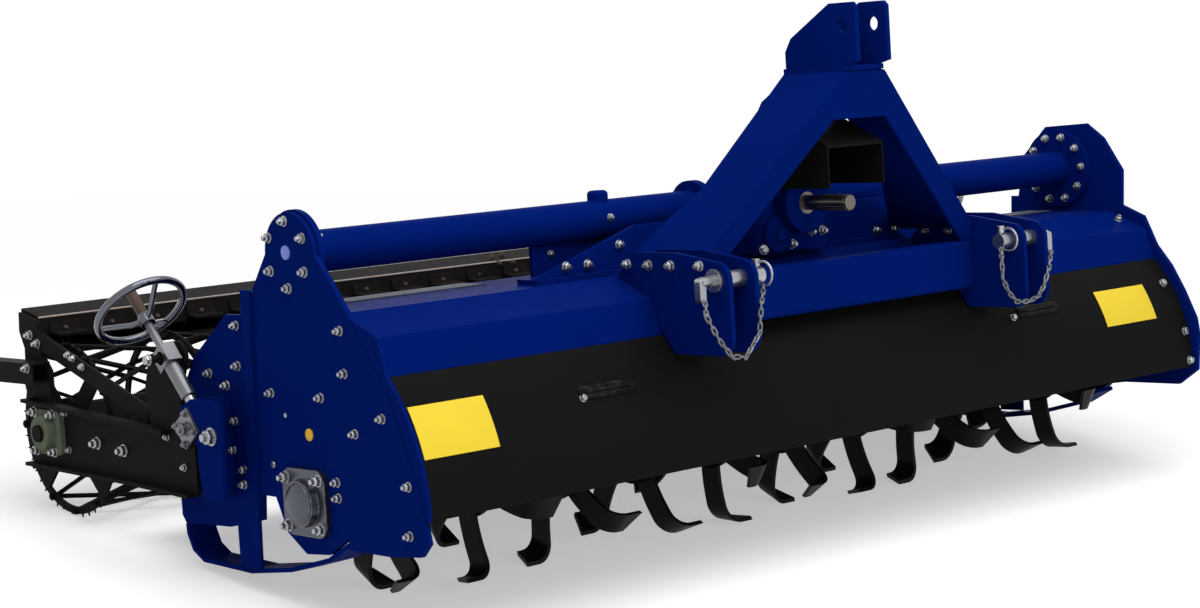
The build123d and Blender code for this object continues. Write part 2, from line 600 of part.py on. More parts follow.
HOUSING_W, HOUSING_H, HOUSING_T, HOUSING_CORNER = 150.0, 142.0, 12.0, 30.0
DOME_R, DOME_T = 52.0, 16.0
with BuildPart() as rotor_bearing:
    with BuildSketch(side_at(-SIDE_OUT)):
        with Locations((0, ROTOR_Z)):
            RectangleRounded(HOUSING_W, HOUSING_H, HOUSING_CORNER)
    extrude(amount=-HOUSING_T)
    with BuildSketch(side_at(-SIDE_OUT - HOUSING_T)):
        with Locations((0, ROTOR_Z)):
            Circle(DOME_R)
    extrude(amount=-DOME_T, taper=DOME_SLOPE)
    with BuildSketch(side_at(-SIDE_OUT)):
        with Locations((0, ROTOR_Z)):
            Circle(JOURNAL_R + FIT)
    extrude(amount=-HOUSING_T, mode=Mode.SUBTRACT)
rotor_bearing.part.label = "rotor_bearing"
export_step(rotor_bearing.part, "parts/rotor_bearing.step")

# ---------------------------------------------------------------- rotor
SHAFT_R, SHAFT_WALL = 45.0, 12.0
SHAFT_GAP = 32.0                  # from the shaft's end face to a side plate
SHAFT_HALF = SIDE_IN - SHAFT_GAP
END_PLAY = 1.0                    # between a stub shaft's end and its bearing's cover
DISC_R, DISC_T = 100.0, 12.0
DISC_COUNT, BLADES_PER_DISC = 10, 6
DISC_TURN = 23.0                  # each disc is turned this much from its neighbour, degrees
BLADE_T = 9.0
TIP_R = ROTOR_R - 0.3             # the blades' outermost corners
FOOT_W = 78.0                     # reach of the blade's bent foot along the rotor
BEND_R = 42.0                     # round the blade's heel
SHANK_ROOT_R, SHANK_HALF = 58.0, 28.0
EDGE_LEAD, EDGE_TRAIL = 62.0, 0.0 # the foot's leading and trailing edges, from the blade's middle line
WAIST_R, WAIST_BULGE = 150.0, 6.0 # where the shank's edges bulge forwards, and by how much
END_CUT = 22.0                    # the foot's end is cut back by this much at its trailing edge
FOOT_R = math.sqrt(TIP_R**2 - EDGE_LEAD**2)
BLADE_GAP = 17.5                  # from the outermost blades to a skid
DISC_PITCH = 2 * (SIDE_OUT - SKID_W - BLADE_GAP - FOOT_W - DISC_T / 2) / (DISC_COUNT - 1)
disc_places = [DISC_PITCH * (index - (DISC_COUNT - 1) / 2) for index in range(DISC_COUNT)]
with BuildPart() as rotor_shaft:
    with BuildSketch(side_at(-SHAFT_HALF)):
        with Locations((0, ROTOR_Z)):
            Circle(SHAFT_R)
    extrude(amount=2 * SHAFT_HALF)
    for disc_x in disc_places:
        with BuildSketch(side_at(disc_x - DISC_T / 2)):
            with Locations((0, ROTOR_Z)):
                Circle(DISC_R)
        extrude(amount=DISC_T)
    for _, sign in SIDES:
        with BuildSketch(side_at(sign * SHAFT_HALF)):
            with Locations((0, ROTOR_Z)):
                Circle(JOURNAL_R)
        extrude(amount=sign * (SIDE_OUT + HOUSING_T - END_PLAY - SHAFT_HALF))
rotor_shaft.part.label = "rotor_shaft"
export_step(rotor_shaft.part, "parts/rotor_shaft.step")


def blade_plane(x, angle):
    """Plane across the rotor at x: its y points out along a blade, its x to the leading edge."""
    spin = math.radians(angle)
    return plane_at(x, 0, ROTOR_Z, (0, math.sin(spin), -math.cos(spin)), (1, 0, 0))


# A blade, drawn with its root at the origin's disc, y outwards and its foot bent towards +z: the bent
# strip, cut to the outline seen along the rotor and then to the one seen from outside
with BuildPart() as blade:
    with BuildSketch(Plane.YZ.offset(-EDGE_LEAD)):
        with BuildLine():
            FilletPolyline((SHANK_ROOT_R, 0), (FOOT_R, 0), (FOOT_R, FOOT_W), radius=BEND_R)
            offset(amount=BLADE_T, side=Side.LEFT, closed=True)
        make_face()
    extrude(amount=2 * EDGE_LEAD)
    with BuildSketch(Plane.XY):
        with BuildLine():
            Line((SHANK_HALF, SHANK_ROOT_R), (-SHANK_HALF, SHANK_ROOT_R))
            ThreePointArc(
                (-SHANK_HALF, SHANK_ROOT_R), (WAIST_BULGE - SHANK_HALF, WAIST_R), (EDGE_TRAIL, FOOT_R),
            )
            Line((EDGE_TRAIL, FOOT_R), (EDGE_LEAD, FOOT_R))
            ThreePointArc(
                (EDGE_LEAD, FOOT_R), (WAIST_BULGE + SHANK_HALF, WAIST_R), (SHANK_HALF, SHANK_ROOT_R),
            )
        make_face()
    extrude(amount=FOOT_W, mode=Mode.INTERSECT)
    with BuildSketch(Plane.XZ.offset(-FOOT_R)):
        Polygon(
            (-EDGE_LEAD, 0), (-EDGE_LEAD, FOOT_W - END_CUT), (EDGE_TRAIL, FOOT_W - END_CUT),
            (EDGE_LEAD, FOOT_W), (EDGE_LEAD, 0), align=None,
        )
    extrude(amount=FOOT_R, mode=Mode.INTERSECT)

blade_places = {-1: [], 1: []}    # of the blades bent to the left and to the right
for index, disc_x in enumerate(disc_places):
    for step in range(BLADES_PER_DISC):
        hand = 1 if step % 2 else -1
        angle = step * 360 / BLADES_PER_DISC + index * DISC_TURN
        blade_places[hand].append(blade_plane(disc_x + hand * DISC_T / 2, angle).location)
with BuildPart() as blades:
    with Locations(*blade_places[1]):
        add(blade.part)
    with Locations(*blade_places[-1]):
        add(blade.part.mirror(Plane.XY))
blades.part.label = "blades"
export_step(blades.part, "parts/blades.step")

# ---------------------------------------------------------------- tailboard behind the rotor
BOARD_HALF = 1205.0
BOARD_T = 6.0
BOARD_PATH = ((hinge.X + 6, hinge.Y - 10), (505.0, 260.0), (560.0, 195.0), (690.0, 188.0))
EAR_R = HINGE_R + 3
EAR_FOOT = ((-8.0, 0.0), (9.0, 0.0), (22.0, -30.0), (10.0, -30.0))      # from the hinge down to the board
EAR_T = 40.0
with BuildPart() as tailboard:
    with BuildSketch(side_at(-BOARD_HALF)):
        with BuildLine():
            Polyline(*BOARD_PATH)
            offset(amount=BOARD_T, side=Side.LEFT, closed=True)
        make_face()
    extrude(amount=2 * BOARD_HALF)
    for hinge_x in HINGE_X:
        for sign in (-1, 1):
            with BuildSketch(side_at(hinge_x + sign * (HINGE_L / 2 + 1))):
                with Locations(hinge):
                    Circle(EAR_R)
                    Polygon(*EAR_FOOT, align=None)
            extrude(amount=sign * EAR_T)
        with BuildSketch(side_at(hinge_x - HINGE_L / 2 - 2)):
            with Locations(hinge):
                Circle(HINGE_PIN_R - FIT)
        extrude(amount=HINGE_L + 4)
tailboard.part.label = "tailboard"
export_step(tailboard.part, "parts/tailboard.step")

# ---------------------------------------------------------------- roller frame
ARM_OUTLINE = (
    (1100.0, 402.0), (1100.0, 243.0), (640.0, 232.0), (395.0, 221.0), (385.0, 240.0), (385.0, 345.0),
    (440.0, 362.0), (743.0, 379.0),
)
ARM_EAR_R = 42.0
RIM_W, RIM_T = 24.0, 8.0          # flanges folded outwards along the arm's edges
ARM_TOP_RIM = ((480.0, 365.2), (743.0, 380.0), (1100.0, 402.6))
ARM_FOOT_RIM = ((395.0, 221.0), (640.0, 232.0), (1100.0, 243.0))
ROLLER_STUB_R = 20.0
LEVER_OUTLINE = (
    (430.0, 355.0), (556.0, 360.0), (572.0, 452.0), (548.0, 520.0), (446.0, 562.0),
    (400.0, 520.0), (425.0, 462.0),
)
LEVER_HEAD_R = 34.0
TRUNNION_R = 9.0
TRUNNION_END = 46.0               # beyond the plane of the screws
RHOMBUS_T = 10.0
RHOMBUS = ((347.0, 375.0), (400.0, 421.0), (453.0, 375.0), (400.0, 329.0))
for side, sign in SIDES:
    with BuildPart() as arm:
        with BuildSketch(side_at(sign * ARM_IN)):
            Polygon(*ARM_OUTLINE, align=None)
            Polygon(*LEVER_OUTLINE, align=None)
            with Locations(JACK_EYE):
                Circle(LEVER_HEAD_R)
            with Locations((PIVOT_Y, PIVOT_Z)):
                Circle(ARM_EAR_R)
                Circle(PIVOT_PIN_R + FIT, mode=Mode.SUBTRACT)
            with Locations((ROLLER_Y, ROLLER_Z)):
                Circle(ROLLER_STUB_R + 3, mode=Mode.SUBTRACT)
        extrude(amount=sign * ARM_T)
        for rim, hand in ((ARM_TOP_RIM, Side.RIGHT), (ARM_FOOT_RIM, Side.LEFT)):
            with BuildSketch(side_at(sign * ARM_OUT)):
                with BuildLine():
                    Polyline(*rim)
                    offset(amount=RIM_T, side=hand, closed=True)
                make_face()
            extrude(amount=sign * RIM_W)
        with BuildSketch(side_at(sign * ARM_OUT)):
            with Locations(JACK_EYE):
                Circle(TRUNNION_R)
        extrude(amount=sign * (JACK_X + TRUNNION_END - ARM_OUT))
        with BuildSketch(side_at(sign * ARM_OUT)):
            Polygon(*RHOMBUS, align=None)
            with Locations((PIVOT_Y, PIVOT_Z)):
                Circle(PIVOT_PIN_R + FIT, mode=Mode.SUBTRACT)
        extrude(amount=sign * RHOMBUS_T)
    arm.part.label = f"roller_arm_{side}"
    export_step(arm.part, f"parts/roller_arm_{side}.step")

UPRIGHT_T = 12.0
UPRIGHT_OUTLINE = (
    (1012.0, 380.0), (1012.0, 470.0), (1040.0, 500.0), (1056.0, 585.0), (1064.0, 590.0), (1136.0, 606.0),
    (1140.0, 560.0), (1120.0, 520.0), (1130.0, 380.0),
)
BAR_START_Y = 1005.0
BAR_WALL = 5.0
BRACE_TOP, BRACE_FOOT = Vector(1078.0, 550.0), Vector(585.0, 388.0)     # from the upright to the arm
BRACE_W, BRACE_T = 40.0, 8.0
brace_side = (BRACE_TOP - BRACE_FOOT).normalized() * (BRACE_W / 2)
brace_side = Vector(-brace_side.Y, brace_side.X)
for side, sign in SIDES:
    with BuildPart() as upright:
        with BuildSketch(side_at(sign * ARM_IN)):
            Polygon(*UPRIGHT_OUTLINE, align=None)
        extrude(amount=-sign * UPRIGHT_T)
        with BuildSketch(side_at(sign * ARM_IN)):
            Polygon(
                BRACE_TOP + brace_side, BRACE_FOOT + brace_side,
                BRACE_FOOT - brace_side, BRACE_TOP - brace_side,
                align=None,
            )
        extrude(amount=-sign * BRACE_T)
        with BuildSketch(front_at(BAR_END_Y, sign * (ARM_IN + BAR_H / 2))):
            with Locations((0, BAR_Z)):
                Rectangle(BAR_H, BAR_H)
                Rectangle(BAR_H - 2 * BAR_WALL, BAR_H - 2 * BAR_WALL, mode=Mode.SUBTRACT)
        extrude(amount=BAR_END_Y - BAR_START_Y)
    upright.part.label = f"upright_{side}"
    export_step(upright.part, f"parts/upright_{side}.step")

BEAM_T = 8.0
SCRAPER_BEAM_PATH = ((1056.0, 541.0), (1062.0, 595.0), (1142.0, 614.0))
SCRAPER_HALF = ARM_IN - UPRIGHT_T
SCRAPER_COUNT, SCRAPER_W, SCRAPER_T = 20, 82.0, 6.0
SCRAPER_PATH = ((1062.0, 580.0), (1054.0, 552.0), (1012.0, 548.0))      # down the beam, then to the roller
with BuildPart() as scraper_beam:
    with BuildSketch(side_at(-SCRAPER_HALF)):
        with BuildLine():
            Polyline(*SCRAPER_BEAM_PATH)
            offset(amount=BEAM_T, side=Side.RIGHT, closed=True)
        make_face()
    extrude(amount=2 * SCRAPER_HALF)
    for index in range(SCRAPER_COUNT):
        place = 2 * SCRAPER_HALF * ((index + 0.5) / SCRAPER_COUNT - 0.5)
        with BuildSketch(side_at(place - SCRAPER_W / 2)):
            with BuildLine():
                Polyline(*SCRAPER_PATH)
                offset(amount=SCRAPER_T, side=Side.RIGHT, closed=True)
            make_face()
        extrude(amount=SCRAPER_W)
scraper_beam.part.label = "scraper_beam"
export_step(scraper_beam.part, "parts/scraper_beam.step")

# Flange bearings of the roller
FLANGE_W, FLANGE_H, FLANGE_T, FLANGE_CORNER = 118.0, 106.0, 14.0, 14.0
NOSE_R, NOSE_T = 40.0, 22.0
for side, sign in SIDES:
    with BuildPart() as bearing:
        with BuildSketch(side_at(sign * ARM_OUT)):
            with Locations((ROLLER_Y, ROLLER_Z)):
                RectangleRounded(FLANGE_W, FLANGE_H, FLANGE_CORNER)
        extrude(amount=sign * FLANGE_T)
        with BuildSketch(side_at(sign * (ARM_OUT + FLANGE_T))):
            with Locations((ROLLER_Y, ROLLER_Z)):
                Circle(NOSE_R)
        extrude(amount=sign * NOSE_T)
        with BuildSketch(side_at(sign * ARM_OUT)):
            with Locations((ROLLER_Y, ROLLER_Z)):
                Circle(ROLLER_STUB_R + FIT)
        extrude(amount=sign * (FLANGE_T + NOSE_T), mode=Mode.SUBTRACT)
    bearing.part.label = f"roller_bearing_{side}"
    export_step(bearing.part, f"parts/roller_bearing_{side}.step")

# ---------------------------------------------------------------- roller
DRUM_GAP = 34.0                   # from the roller's end to its arm
DRUM_HALF = ARM_IN - DRUM_GAP
CORE_R, CORE_WALL = 60.0, 8.0
END_CAP_T = 10.0
STUB_END = 8.0                    # how far the roller's shaft stands out of its bearings
RING_COUNT, RING_W, RING_DEPTH = 10, 8.0, 17.0
RODS = 12                         # rods of each hand, crossing to a lattice
ROD_TURN = 36.0                   # a rod's turn from one ring to the next, degrees
ROD_SIZE = 9.0
ROD_END = 14.0                    # how far the rods' ends stand out beyond the end rings
ROD_R = ROLLER_R - 0.85 * ROD_SIZE
SPOKES, SPOKE_W = 4, 46.0         # of the end rings, and the collar that they stand on
COLLAR_R = CORE_R + 14.0
with BuildPart() as roller_core:
    with BuildSketch(side_at(-DRUM_HALF)):
        with Locations((ROLLER_Y, ROLLER_Z)):
            Circle(CORE_R)
            Circle(CORE_R - CORE_WALL, mode=Mode.SUBTRACT)
    extrude(amount=2 * DRUM_HALF)
    for _, sign in SIDES:
        with BuildSketch(side_at(sign * (DRUM_HALF - END_CAP_T))):
            with Locations((ROLLER_Y, ROLLER_Z)):
                Circle(CORE_R)
        extrude(amount=sign * END_CAP_T)
        with BuildSketch(side_at(sign * DRUM_HALF)):
            with Locations((ROLLER_Y, ROLLER_Z)):
                Circle(ROLLER_STUB_R)
        extrude(amount=sign * (ARM_OUT + FLANGE_T + NOSE_T + STUB_END - DRUM_HALF))
roller_core.part.label = "roller_core"
export_step(roller_core.part, "parts/roller_core.step")

ring_pitch = (2 * DRUM_HALF - RING_W) / (RING_COUNT - 1)


def on_lattice(x, angle):
    """Point of the world on the rods' circle."""
    spin = math.radians(angle)
    y, z = ROLLER_Y + ROD_R * math.cos(spin), ROLLER_Z + ROD_R * math.sin(spin)
    return plane_at(x, y, z, (0, 1, 0), (1, 0, 0)).origin


def rod_between(start, end):
    """Place and length of a rod whose own z runs between two points."""
    return Plane(origin=start, x_dir=(end - start).cross(Vector(1, 0, 0)), z_dir=end - start).location


rod_places = []
stub_places = []
for turn in range(RODS):
    for hand in (-1, 1):
        for bay in range(RING_COUNT - 1):
            low = turn * 360 / RODS + hand * bay * ROD_TURN
            low_x = -DRUM_HALF + RING_W / 2 + bay * ring_pitch
            start, end = on_lattice(low_x, low), on_lattice(low_x + ring_pitch, low + hand * ROD_TURN)
            rod_places.append(rod_between(start, end))
            if bay == 0:
                stub_places.append(rod_between(start, start + start - end))
            if bay == RING_COUNT - 2:
                stub_places.append(rod_between(end, end + end - start))
rod_length = math.hypot(ring_pitch, 2 * ROD_R * math.sin(math.radians(ROD_TURN / 2)))

with BuildPart() as rod:
    with BuildSketch(Plane.XY):
        Rectangle(ROD_SIZE, ROD_SIZE)
    extrude(amount=rod_length)

with BuildPart() as rod_stub:
    with BuildSketch(Plane.XY):
        Rectangle(ROD_SIZE, ROD_SIZE)
    extrude(amount=ROD_END)

with BuildPart() as roller_cage:
    for index in range(RING_COUNT):
        with BuildSketch(side_at(-DRUM_HALF + index * ring_pitch)):
            with Locations((ROLLER_Y, ROLLER_Z)):
                Circle(ROLLER_R)
                Circle(ROLLER_R - RING_DEPTH, mode=Mode.SUBTRACT)
                if index in (0, RING_COUNT - 1):
                    with PolarLocations((CORE_R + ROLLER_R - RING_DEPTH / 2) / 2, SPOKES, 45):
                        Rectangle(ROLLER_R - RING_DEPTH / 2 - CORE_R, SPOKE_W)
                    Circle(COLLAR_R)
                    Circle(CORE_R, mode=Mode.SUBTRACT)
        extrude(amount=RING_W)
    with Locations(*rod_places):
        add(rod.part)
    with Locations(*stub_places):
        add(rod_stub.part)
roller_cage.part.label = "roller_cage"
export_step(roller_cage.part, "parts/roller_cage.step")

# ---------------------------------------------------------------- adjusting screws
# Lengths along a screw are from its foot pin.
ROD_R_JACK = 12.0
EYE_R, EYE_HALF = 20.0, 11.0
SLEEVE_R = 17.0
SLEEVE_FOOT = 46.0
ROD_TOP = 118.0
ROD_RUN = 23.0                    # free bore above the rod, for the screw's travel
BLOCK_W = 36.0                    # block that the trunnion turns in
BLOCK_HALF = 24.0
SPINDLE_R = 9.0
SPINDLE_TOP = 362.0
HUB_AT, HUB_R, HUB_HALF = 270.0, 17.0, 13.0
WHEEL_R = 102.0                   # middle of the handwheel's rim
WHEEL_DISH = 27.0                 # the rim lies this much further up than the hub
RIM_HALF, RIM_FLAT = 9.0, 4.0     # the rim is a tube with eight flats
SPOKE_R = 6.0
WHEEL_SPOKES = 3
EYE_SLACK = 6.0                   # the eye may drift from its pin as the arm swings


def jack_plane(x, along):
    """Plane across the screw, facing up along it, at a distance from its foot pin."""
    place = JACK_FOOT + JACK_WAY * along
    return plane_at(x, place.X, place.Y, (1, 0, 0), (0, JACK_WAY.X, JACK_WAY.Y))


for side, sign in SIDES:
    screw_x = sign * JACK_X
    with BuildPart() as jack_rod:
        with BuildSketch(side_at(sign * (JACK_X - EYE_HALF))):
            with Locations(JACK_FOOT):
                Circle(EYE_R)
        extrude(amount=sign * 2 * EYE_HALF)
        with BuildSketch(jack_plane(screw_x, 0)):
            Circle(ROD_R_JACK)
        extrude(amount=ROD_TOP)
        with BuildSketch(side_at(sign * (JACK_X - EYE_R))):
            with Locations(JACK_FOOT):
                Circle(JACK_PIN_R + FIT)
        extrude(amount=sign * 2 * EYE_R, mode=Mode.SUBTRACT)
    jack_rod.part.label = f"jack_rod_{side}"
    export_step(jack_rod.part, f"parts/jack_rod_{side}.step")

    with BuildPart() as jack_sleeve:
        with BuildSketch(jack_plane(screw_x, SLEEVE_FOOT)):
            Circle(SLEEVE_R)
        extrude(amount=EYE_AT - SLEEVE_FOOT)
        with BuildSketch(jack_plane(screw_x, EYE_AT - BLOCK_HALF)):
            Rectangle(BLOCK_W, 2 * BLOCK_HALF)
        extrude(amount=2 * BLOCK_HALF)
        with BuildSketch(jack_plane(screw_x, EYE_AT + BLOCK_HALF)):
            Circle(SPINDLE_R)
        extrude(amount=SPINDLE_TOP - EYE_AT - BLOCK_HALF)
        with BuildSketch(jack_plane(screw_x, SLEEVE_FOOT)):
            Circle(ROD_R_JACK + FIT)
        extrude(amount=ROD_TOP + ROD_RUN - SLEEVE_FOOT, mode=Mode.SUBTRACT)
        with BuildSketch(side_at(sign * (JACK_X - BLOCK_W / 2))):
            with Locations(JACK_EYE):
                Circle(TRUNNION_R + EYE_SLACK)
        extrude(amount=sign * BLOCK_W, mode=Mode.SUBTRACT)
    jack_sleeve.part.label = f"jack_sleeve_{side}"
    export_step(jack_sleeve.part, f"parts/jack_sleeve_{side}.step")

    hub = jack_plane(screw_x, HUB_AT)
    with BuildPart() as handwheel:
        with BuildSketch(jack_plane(screw_x, HUB_AT - HUB_HALF)):
            Circle(HUB_R)
            Circle(SPINDLE_R, mode=Mode.SUBTRACT)
        extrude(amount=2 * HUB_HALF)
        with BuildSketch(Plane(origin=hub.origin, x_dir=hub.x_dir, z_dir=-hub.y_dir)):
            with Locations((WHEEL_R, WHEEL_DISH)):
                Polygon(
                    (-RIM_HALF, -RIM_FLAT), (-RIM_FLAT, -RIM_HALF), (RIM_FLAT, -RIM_HALF),
                    (RIM_HALF, -RIM_FLAT), (RIM_HALF, RIM_FLAT), (RIM_FLAT, RIM_HALF),
                    (-RIM_FLAT, RIM_HALF), (-RIM_HALF, RIM_FLAT),
                    align=None,
                )
        revolve(axis=Axis(hub.origin, hub.z_dir))
        for spoke in range(WHEEL_SPOKES):
            spin = math.radians(90 + 360 * spoke / WHEEL_SPOKES)
            out = hub.x_dir * math.cos(spin) + hub.y_dir * math.sin(spin)
            root, tip = hub.origin + out * (HUB_R - 3), hub.origin + out * WHEEL_R + hub.z_dir * WHEEL_DISH
            with BuildSketch(Plane(origin=root, x_dir=out.cross(hub.z_dir), z_dir=tip - root)):
                Circle(SPOKE_R)
            extrude(amount=(tip - root).length)
    handwheel.part.label = f"handwheel_{side}"
    export_step(handwheel.part, f"parts/handwheel_{side}.step")
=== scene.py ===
"""Rotary tiller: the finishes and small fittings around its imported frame.

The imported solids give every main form. This script paints them, adds the bolts, chains, plates and trim
that a maker fits by hand, and sets a plain studio round them.
"""

import json
import logging
import math
import random
from dataclasses import dataclass, field
from enum import Enum
from typing import Callable, Iterable, Sequence

import bmesh
import bpy
from mathutils import Matrix, Vector
from mathutils.bvhtree import BVHTree


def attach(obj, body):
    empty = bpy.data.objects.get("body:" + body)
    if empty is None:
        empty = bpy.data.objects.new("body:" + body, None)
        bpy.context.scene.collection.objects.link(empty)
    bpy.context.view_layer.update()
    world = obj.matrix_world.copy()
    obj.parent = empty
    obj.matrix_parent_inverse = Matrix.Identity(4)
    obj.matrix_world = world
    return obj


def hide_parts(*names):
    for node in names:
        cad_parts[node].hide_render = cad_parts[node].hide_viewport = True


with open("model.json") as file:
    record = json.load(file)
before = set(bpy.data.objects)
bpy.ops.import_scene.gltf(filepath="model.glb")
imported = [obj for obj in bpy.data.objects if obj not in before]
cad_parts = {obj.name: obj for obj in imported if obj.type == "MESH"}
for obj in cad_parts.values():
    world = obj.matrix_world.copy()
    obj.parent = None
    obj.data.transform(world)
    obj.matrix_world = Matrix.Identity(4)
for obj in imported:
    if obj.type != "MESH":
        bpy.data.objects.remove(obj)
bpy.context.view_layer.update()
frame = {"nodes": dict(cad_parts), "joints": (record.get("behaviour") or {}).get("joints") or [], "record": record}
LOG = logging.getLogger("tiller")
MM = 0.001
SIDES = (("left", -1), ("right", 1))
Pair = tuple[float, float]
Triple = tuple[float, float, float]
Colour = tuple[float, float, float, float]
Socket = bpy.types.NodeSocket

# Machine directions: across it, rearwards and up, square to its hood
LEFT, RIGHT, FORWARDS, UPWARDS = (-1, 0, 0), (1, 0, 0), (0, -1, 0), (0, 0, 1)

# Machine sizes in millimetres, from its middle, the rotor's axis and the circle of the blade tips
FLANK = 1276.0               # outer face of a side plate
ROTOR_UP = 240.0             # the rotor's axis
TUBE = (8.0, 758.0)          # middle of the cross tube, rearwards and up
TUBE_END = 1250.0            # where the tube's end flanges are looked for
GEARBOX_FRONT = -200.0
GUSSET_FRONT = -112.0
SHIELD_R = 402.0             # outer radius of the front shield about the rotor's axis


# ------------------------------------------------------------------ stance
@dataclass(frozen=True)
class Stance:
    """How the leaning machine stands in the row frame.

    Attributes:
        lean: how far the machine is tipped forwards, in radians.
        axis: a point of the rotor's axis, in the row frame's metres.
        tip_radius: the height of that axis over the blade tips, in millimetres.
    """

    lean: float
    axis: Vector
    tip_radius: float

    @classmethod
    def read(cls, joints: Sequence[dict]) -> "Stance":
        """Read the stance from the joints.

        Args:
            joints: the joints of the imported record.

        Returns:
            The stance, its lean taken from the input shaft's axis.
        """
        by_name = {joint["name"]: joint for joint in joints}
        drive = by_name["input_spin"]["axis"]
        axis = Vector(by_name["rotor_spin"]["pos_m"])
        return cls(math.atan2(drive[2], -drive[1]), axis, axis.z / MM)

    def way(self, across: float, rear: float, up: float) -> Vector:
        """Return a machine direction in the row frame."""
        cos, sin = math.cos(self.lean), math.sin(self.lean)
        return Vector((across, rear * cos + up * sin, up * cos - rear * sin))

    def point(self, across: float, rear: float, up: float) -> Vector:
        """Return a machine point, in millimetres, in the row frame's metres."""
        return Vector((0, self.axis.y, self.axis.z)) + self.way(across, rear, up - self.tip_radius) * MM

    def place(self, spot: Triple, facing: Triple) -> Matrix:
        """Return the placing that puts a shape's foot on a spot.

        Args:
            spot: the machine point, in millimetres, where the shape's origin goes.
            facing: the machine direction that the shape's own +Z takes.

        Returns:
            The matrix from the shape's metres to the row frame.
        """
        return Matrix.Translation(self.point(*spot)) @ aimed(self.way(*facing).normalized())


def aimed(outward: Vector) -> Matrix:
    """Return the turn that takes +Z to a direction of the row frame."""
    return outward.to_track_quat("Z", "Y").to_matrix().to_4x4()


def squared(spot: Vector, across: Vector, along: Vector, outward: Vector) -> Matrix:
    """Return the placing at a spot of the row frame that takes X, Y and Z to three directions."""
    return Matrix.Translation(spot) @ Matrix((across, along, outward)).transposed().to_4x4()


def slope(turn: float) -> Triple:
    """Return the machine direction at an angle above rearwards, in radians."""
    return (0.0, math.cos(turn), math.sin(turn))


def wheel_spots(middle: Triple, radius: float, turns: Iterable[float]) -> list[Triple]:
    """Return machine points on a circle about a line across the machine.

    Args:
        middle: the circle's middle.
        radius: its radius, in millimetres.
        turns: each point's angle above rearwards, in radians.

    Returns:
        The points, in the order of the angles.
    """
    across, rear, up = middle
    return [(across, rear + radius * math.cos(a), up + radius * math.sin(a)) for a in turns]


STANCE = Stance.read(frame["joints"])


# ------------------------------------------------------------------ nodes and finishes
class Graph:
    """A short way to add nodes to a tree and link them."""

    def __init__(self, tree: bpy.types.NodeTree) -> None:
        """Keep the tree that nodes are added to."""
        self.tree = tree

    def add(self, kind: str, values: dict | None = None, **settings: object) -> bpy.types.Node:
        """Add a node.

        Args:
            kind: the node's class, without its ShaderNode prefix unless it is a group's own node.
            values: socket name or index to a value or to an output socket.
            settings: attributes of the node.

        Returns:
            The new node.
        """
        name = kind if kind.startswith("NodeGroup") else "ShaderNode" + kind
        node = self.tree.nodes.new(name)
        for key, value in settings.items():
            setattr(node, key, value)
        self.feed(node, values or {})
        return node

    def feed(self, node: bpy.types.Node, values: dict) -> None:
        """Link outputs to a node's sockets, or set the sockets' own values.

        Args:
            node: the node that takes them.
            values: socket name or index to a value or to an output socket.
        """
        for key, value in values.items():
            if isinstance(value, Socket):
                self.tree.links.new(value, node.inputs[key])
            else:
                node.inputs[key].default_value = value

    def math(self, operation: str, first: object, second: object, clamp: bool = False) -> Socket:
        """Add a Math node and return its output."""
        return self.add("Math", {0: first, 1: second}, operation=operation, use_clamp=clamp).outputs[0]

    def mix(self, share: object, first: object, second: object) -> Socket:
        """Add a colour Mix node and return its result."""
        return self.add("Mix", {0: share, 6: first, 7: second}, data_type="RGBA").outputs[2]

    def noise(self, where: Socket, scale: float, detail: float, roughness: float = 0.55) -> Socket:
        """Add a noise texture and return its factor."""
        values = {"Vector": where, "Scale": scale, "Detail": detail, "Roughness": roughness}
        return self.add("TexNoise", values).outputs[0]

    def span(
        self, value: Socket, low: float, high: float, to_low: float = 0.0, to_high: float = 1.0
    ) -> Socket:
        """Map a value from one range to another, smoothly and clamped."""
        values = dict(enumerate((value, low, high, to_low, to_high)))
        return self.add("MapRange", values, interpolation_type="SMOOTHSTEP").outputs[0]


def new_material(name: str) -> tuple[bpy.types.Material, Graph, bpy.types.Node]:
    """Make a material and return it with its graph and its shader."""
    material = bpy.data.materials.new(name)
    material.use_nodes = True
    return material, Graph(material.node_tree), material.node_tree.nodes["Principled BSDF"]


def white(level: float) -> Colour:
    """Return a grey as a colour value."""
    return (level, level, level, 1.0)


def rgba(colour: Triple) -> Colour:
    """Return a colour with full alpha."""
    return (*colour, 1.0)


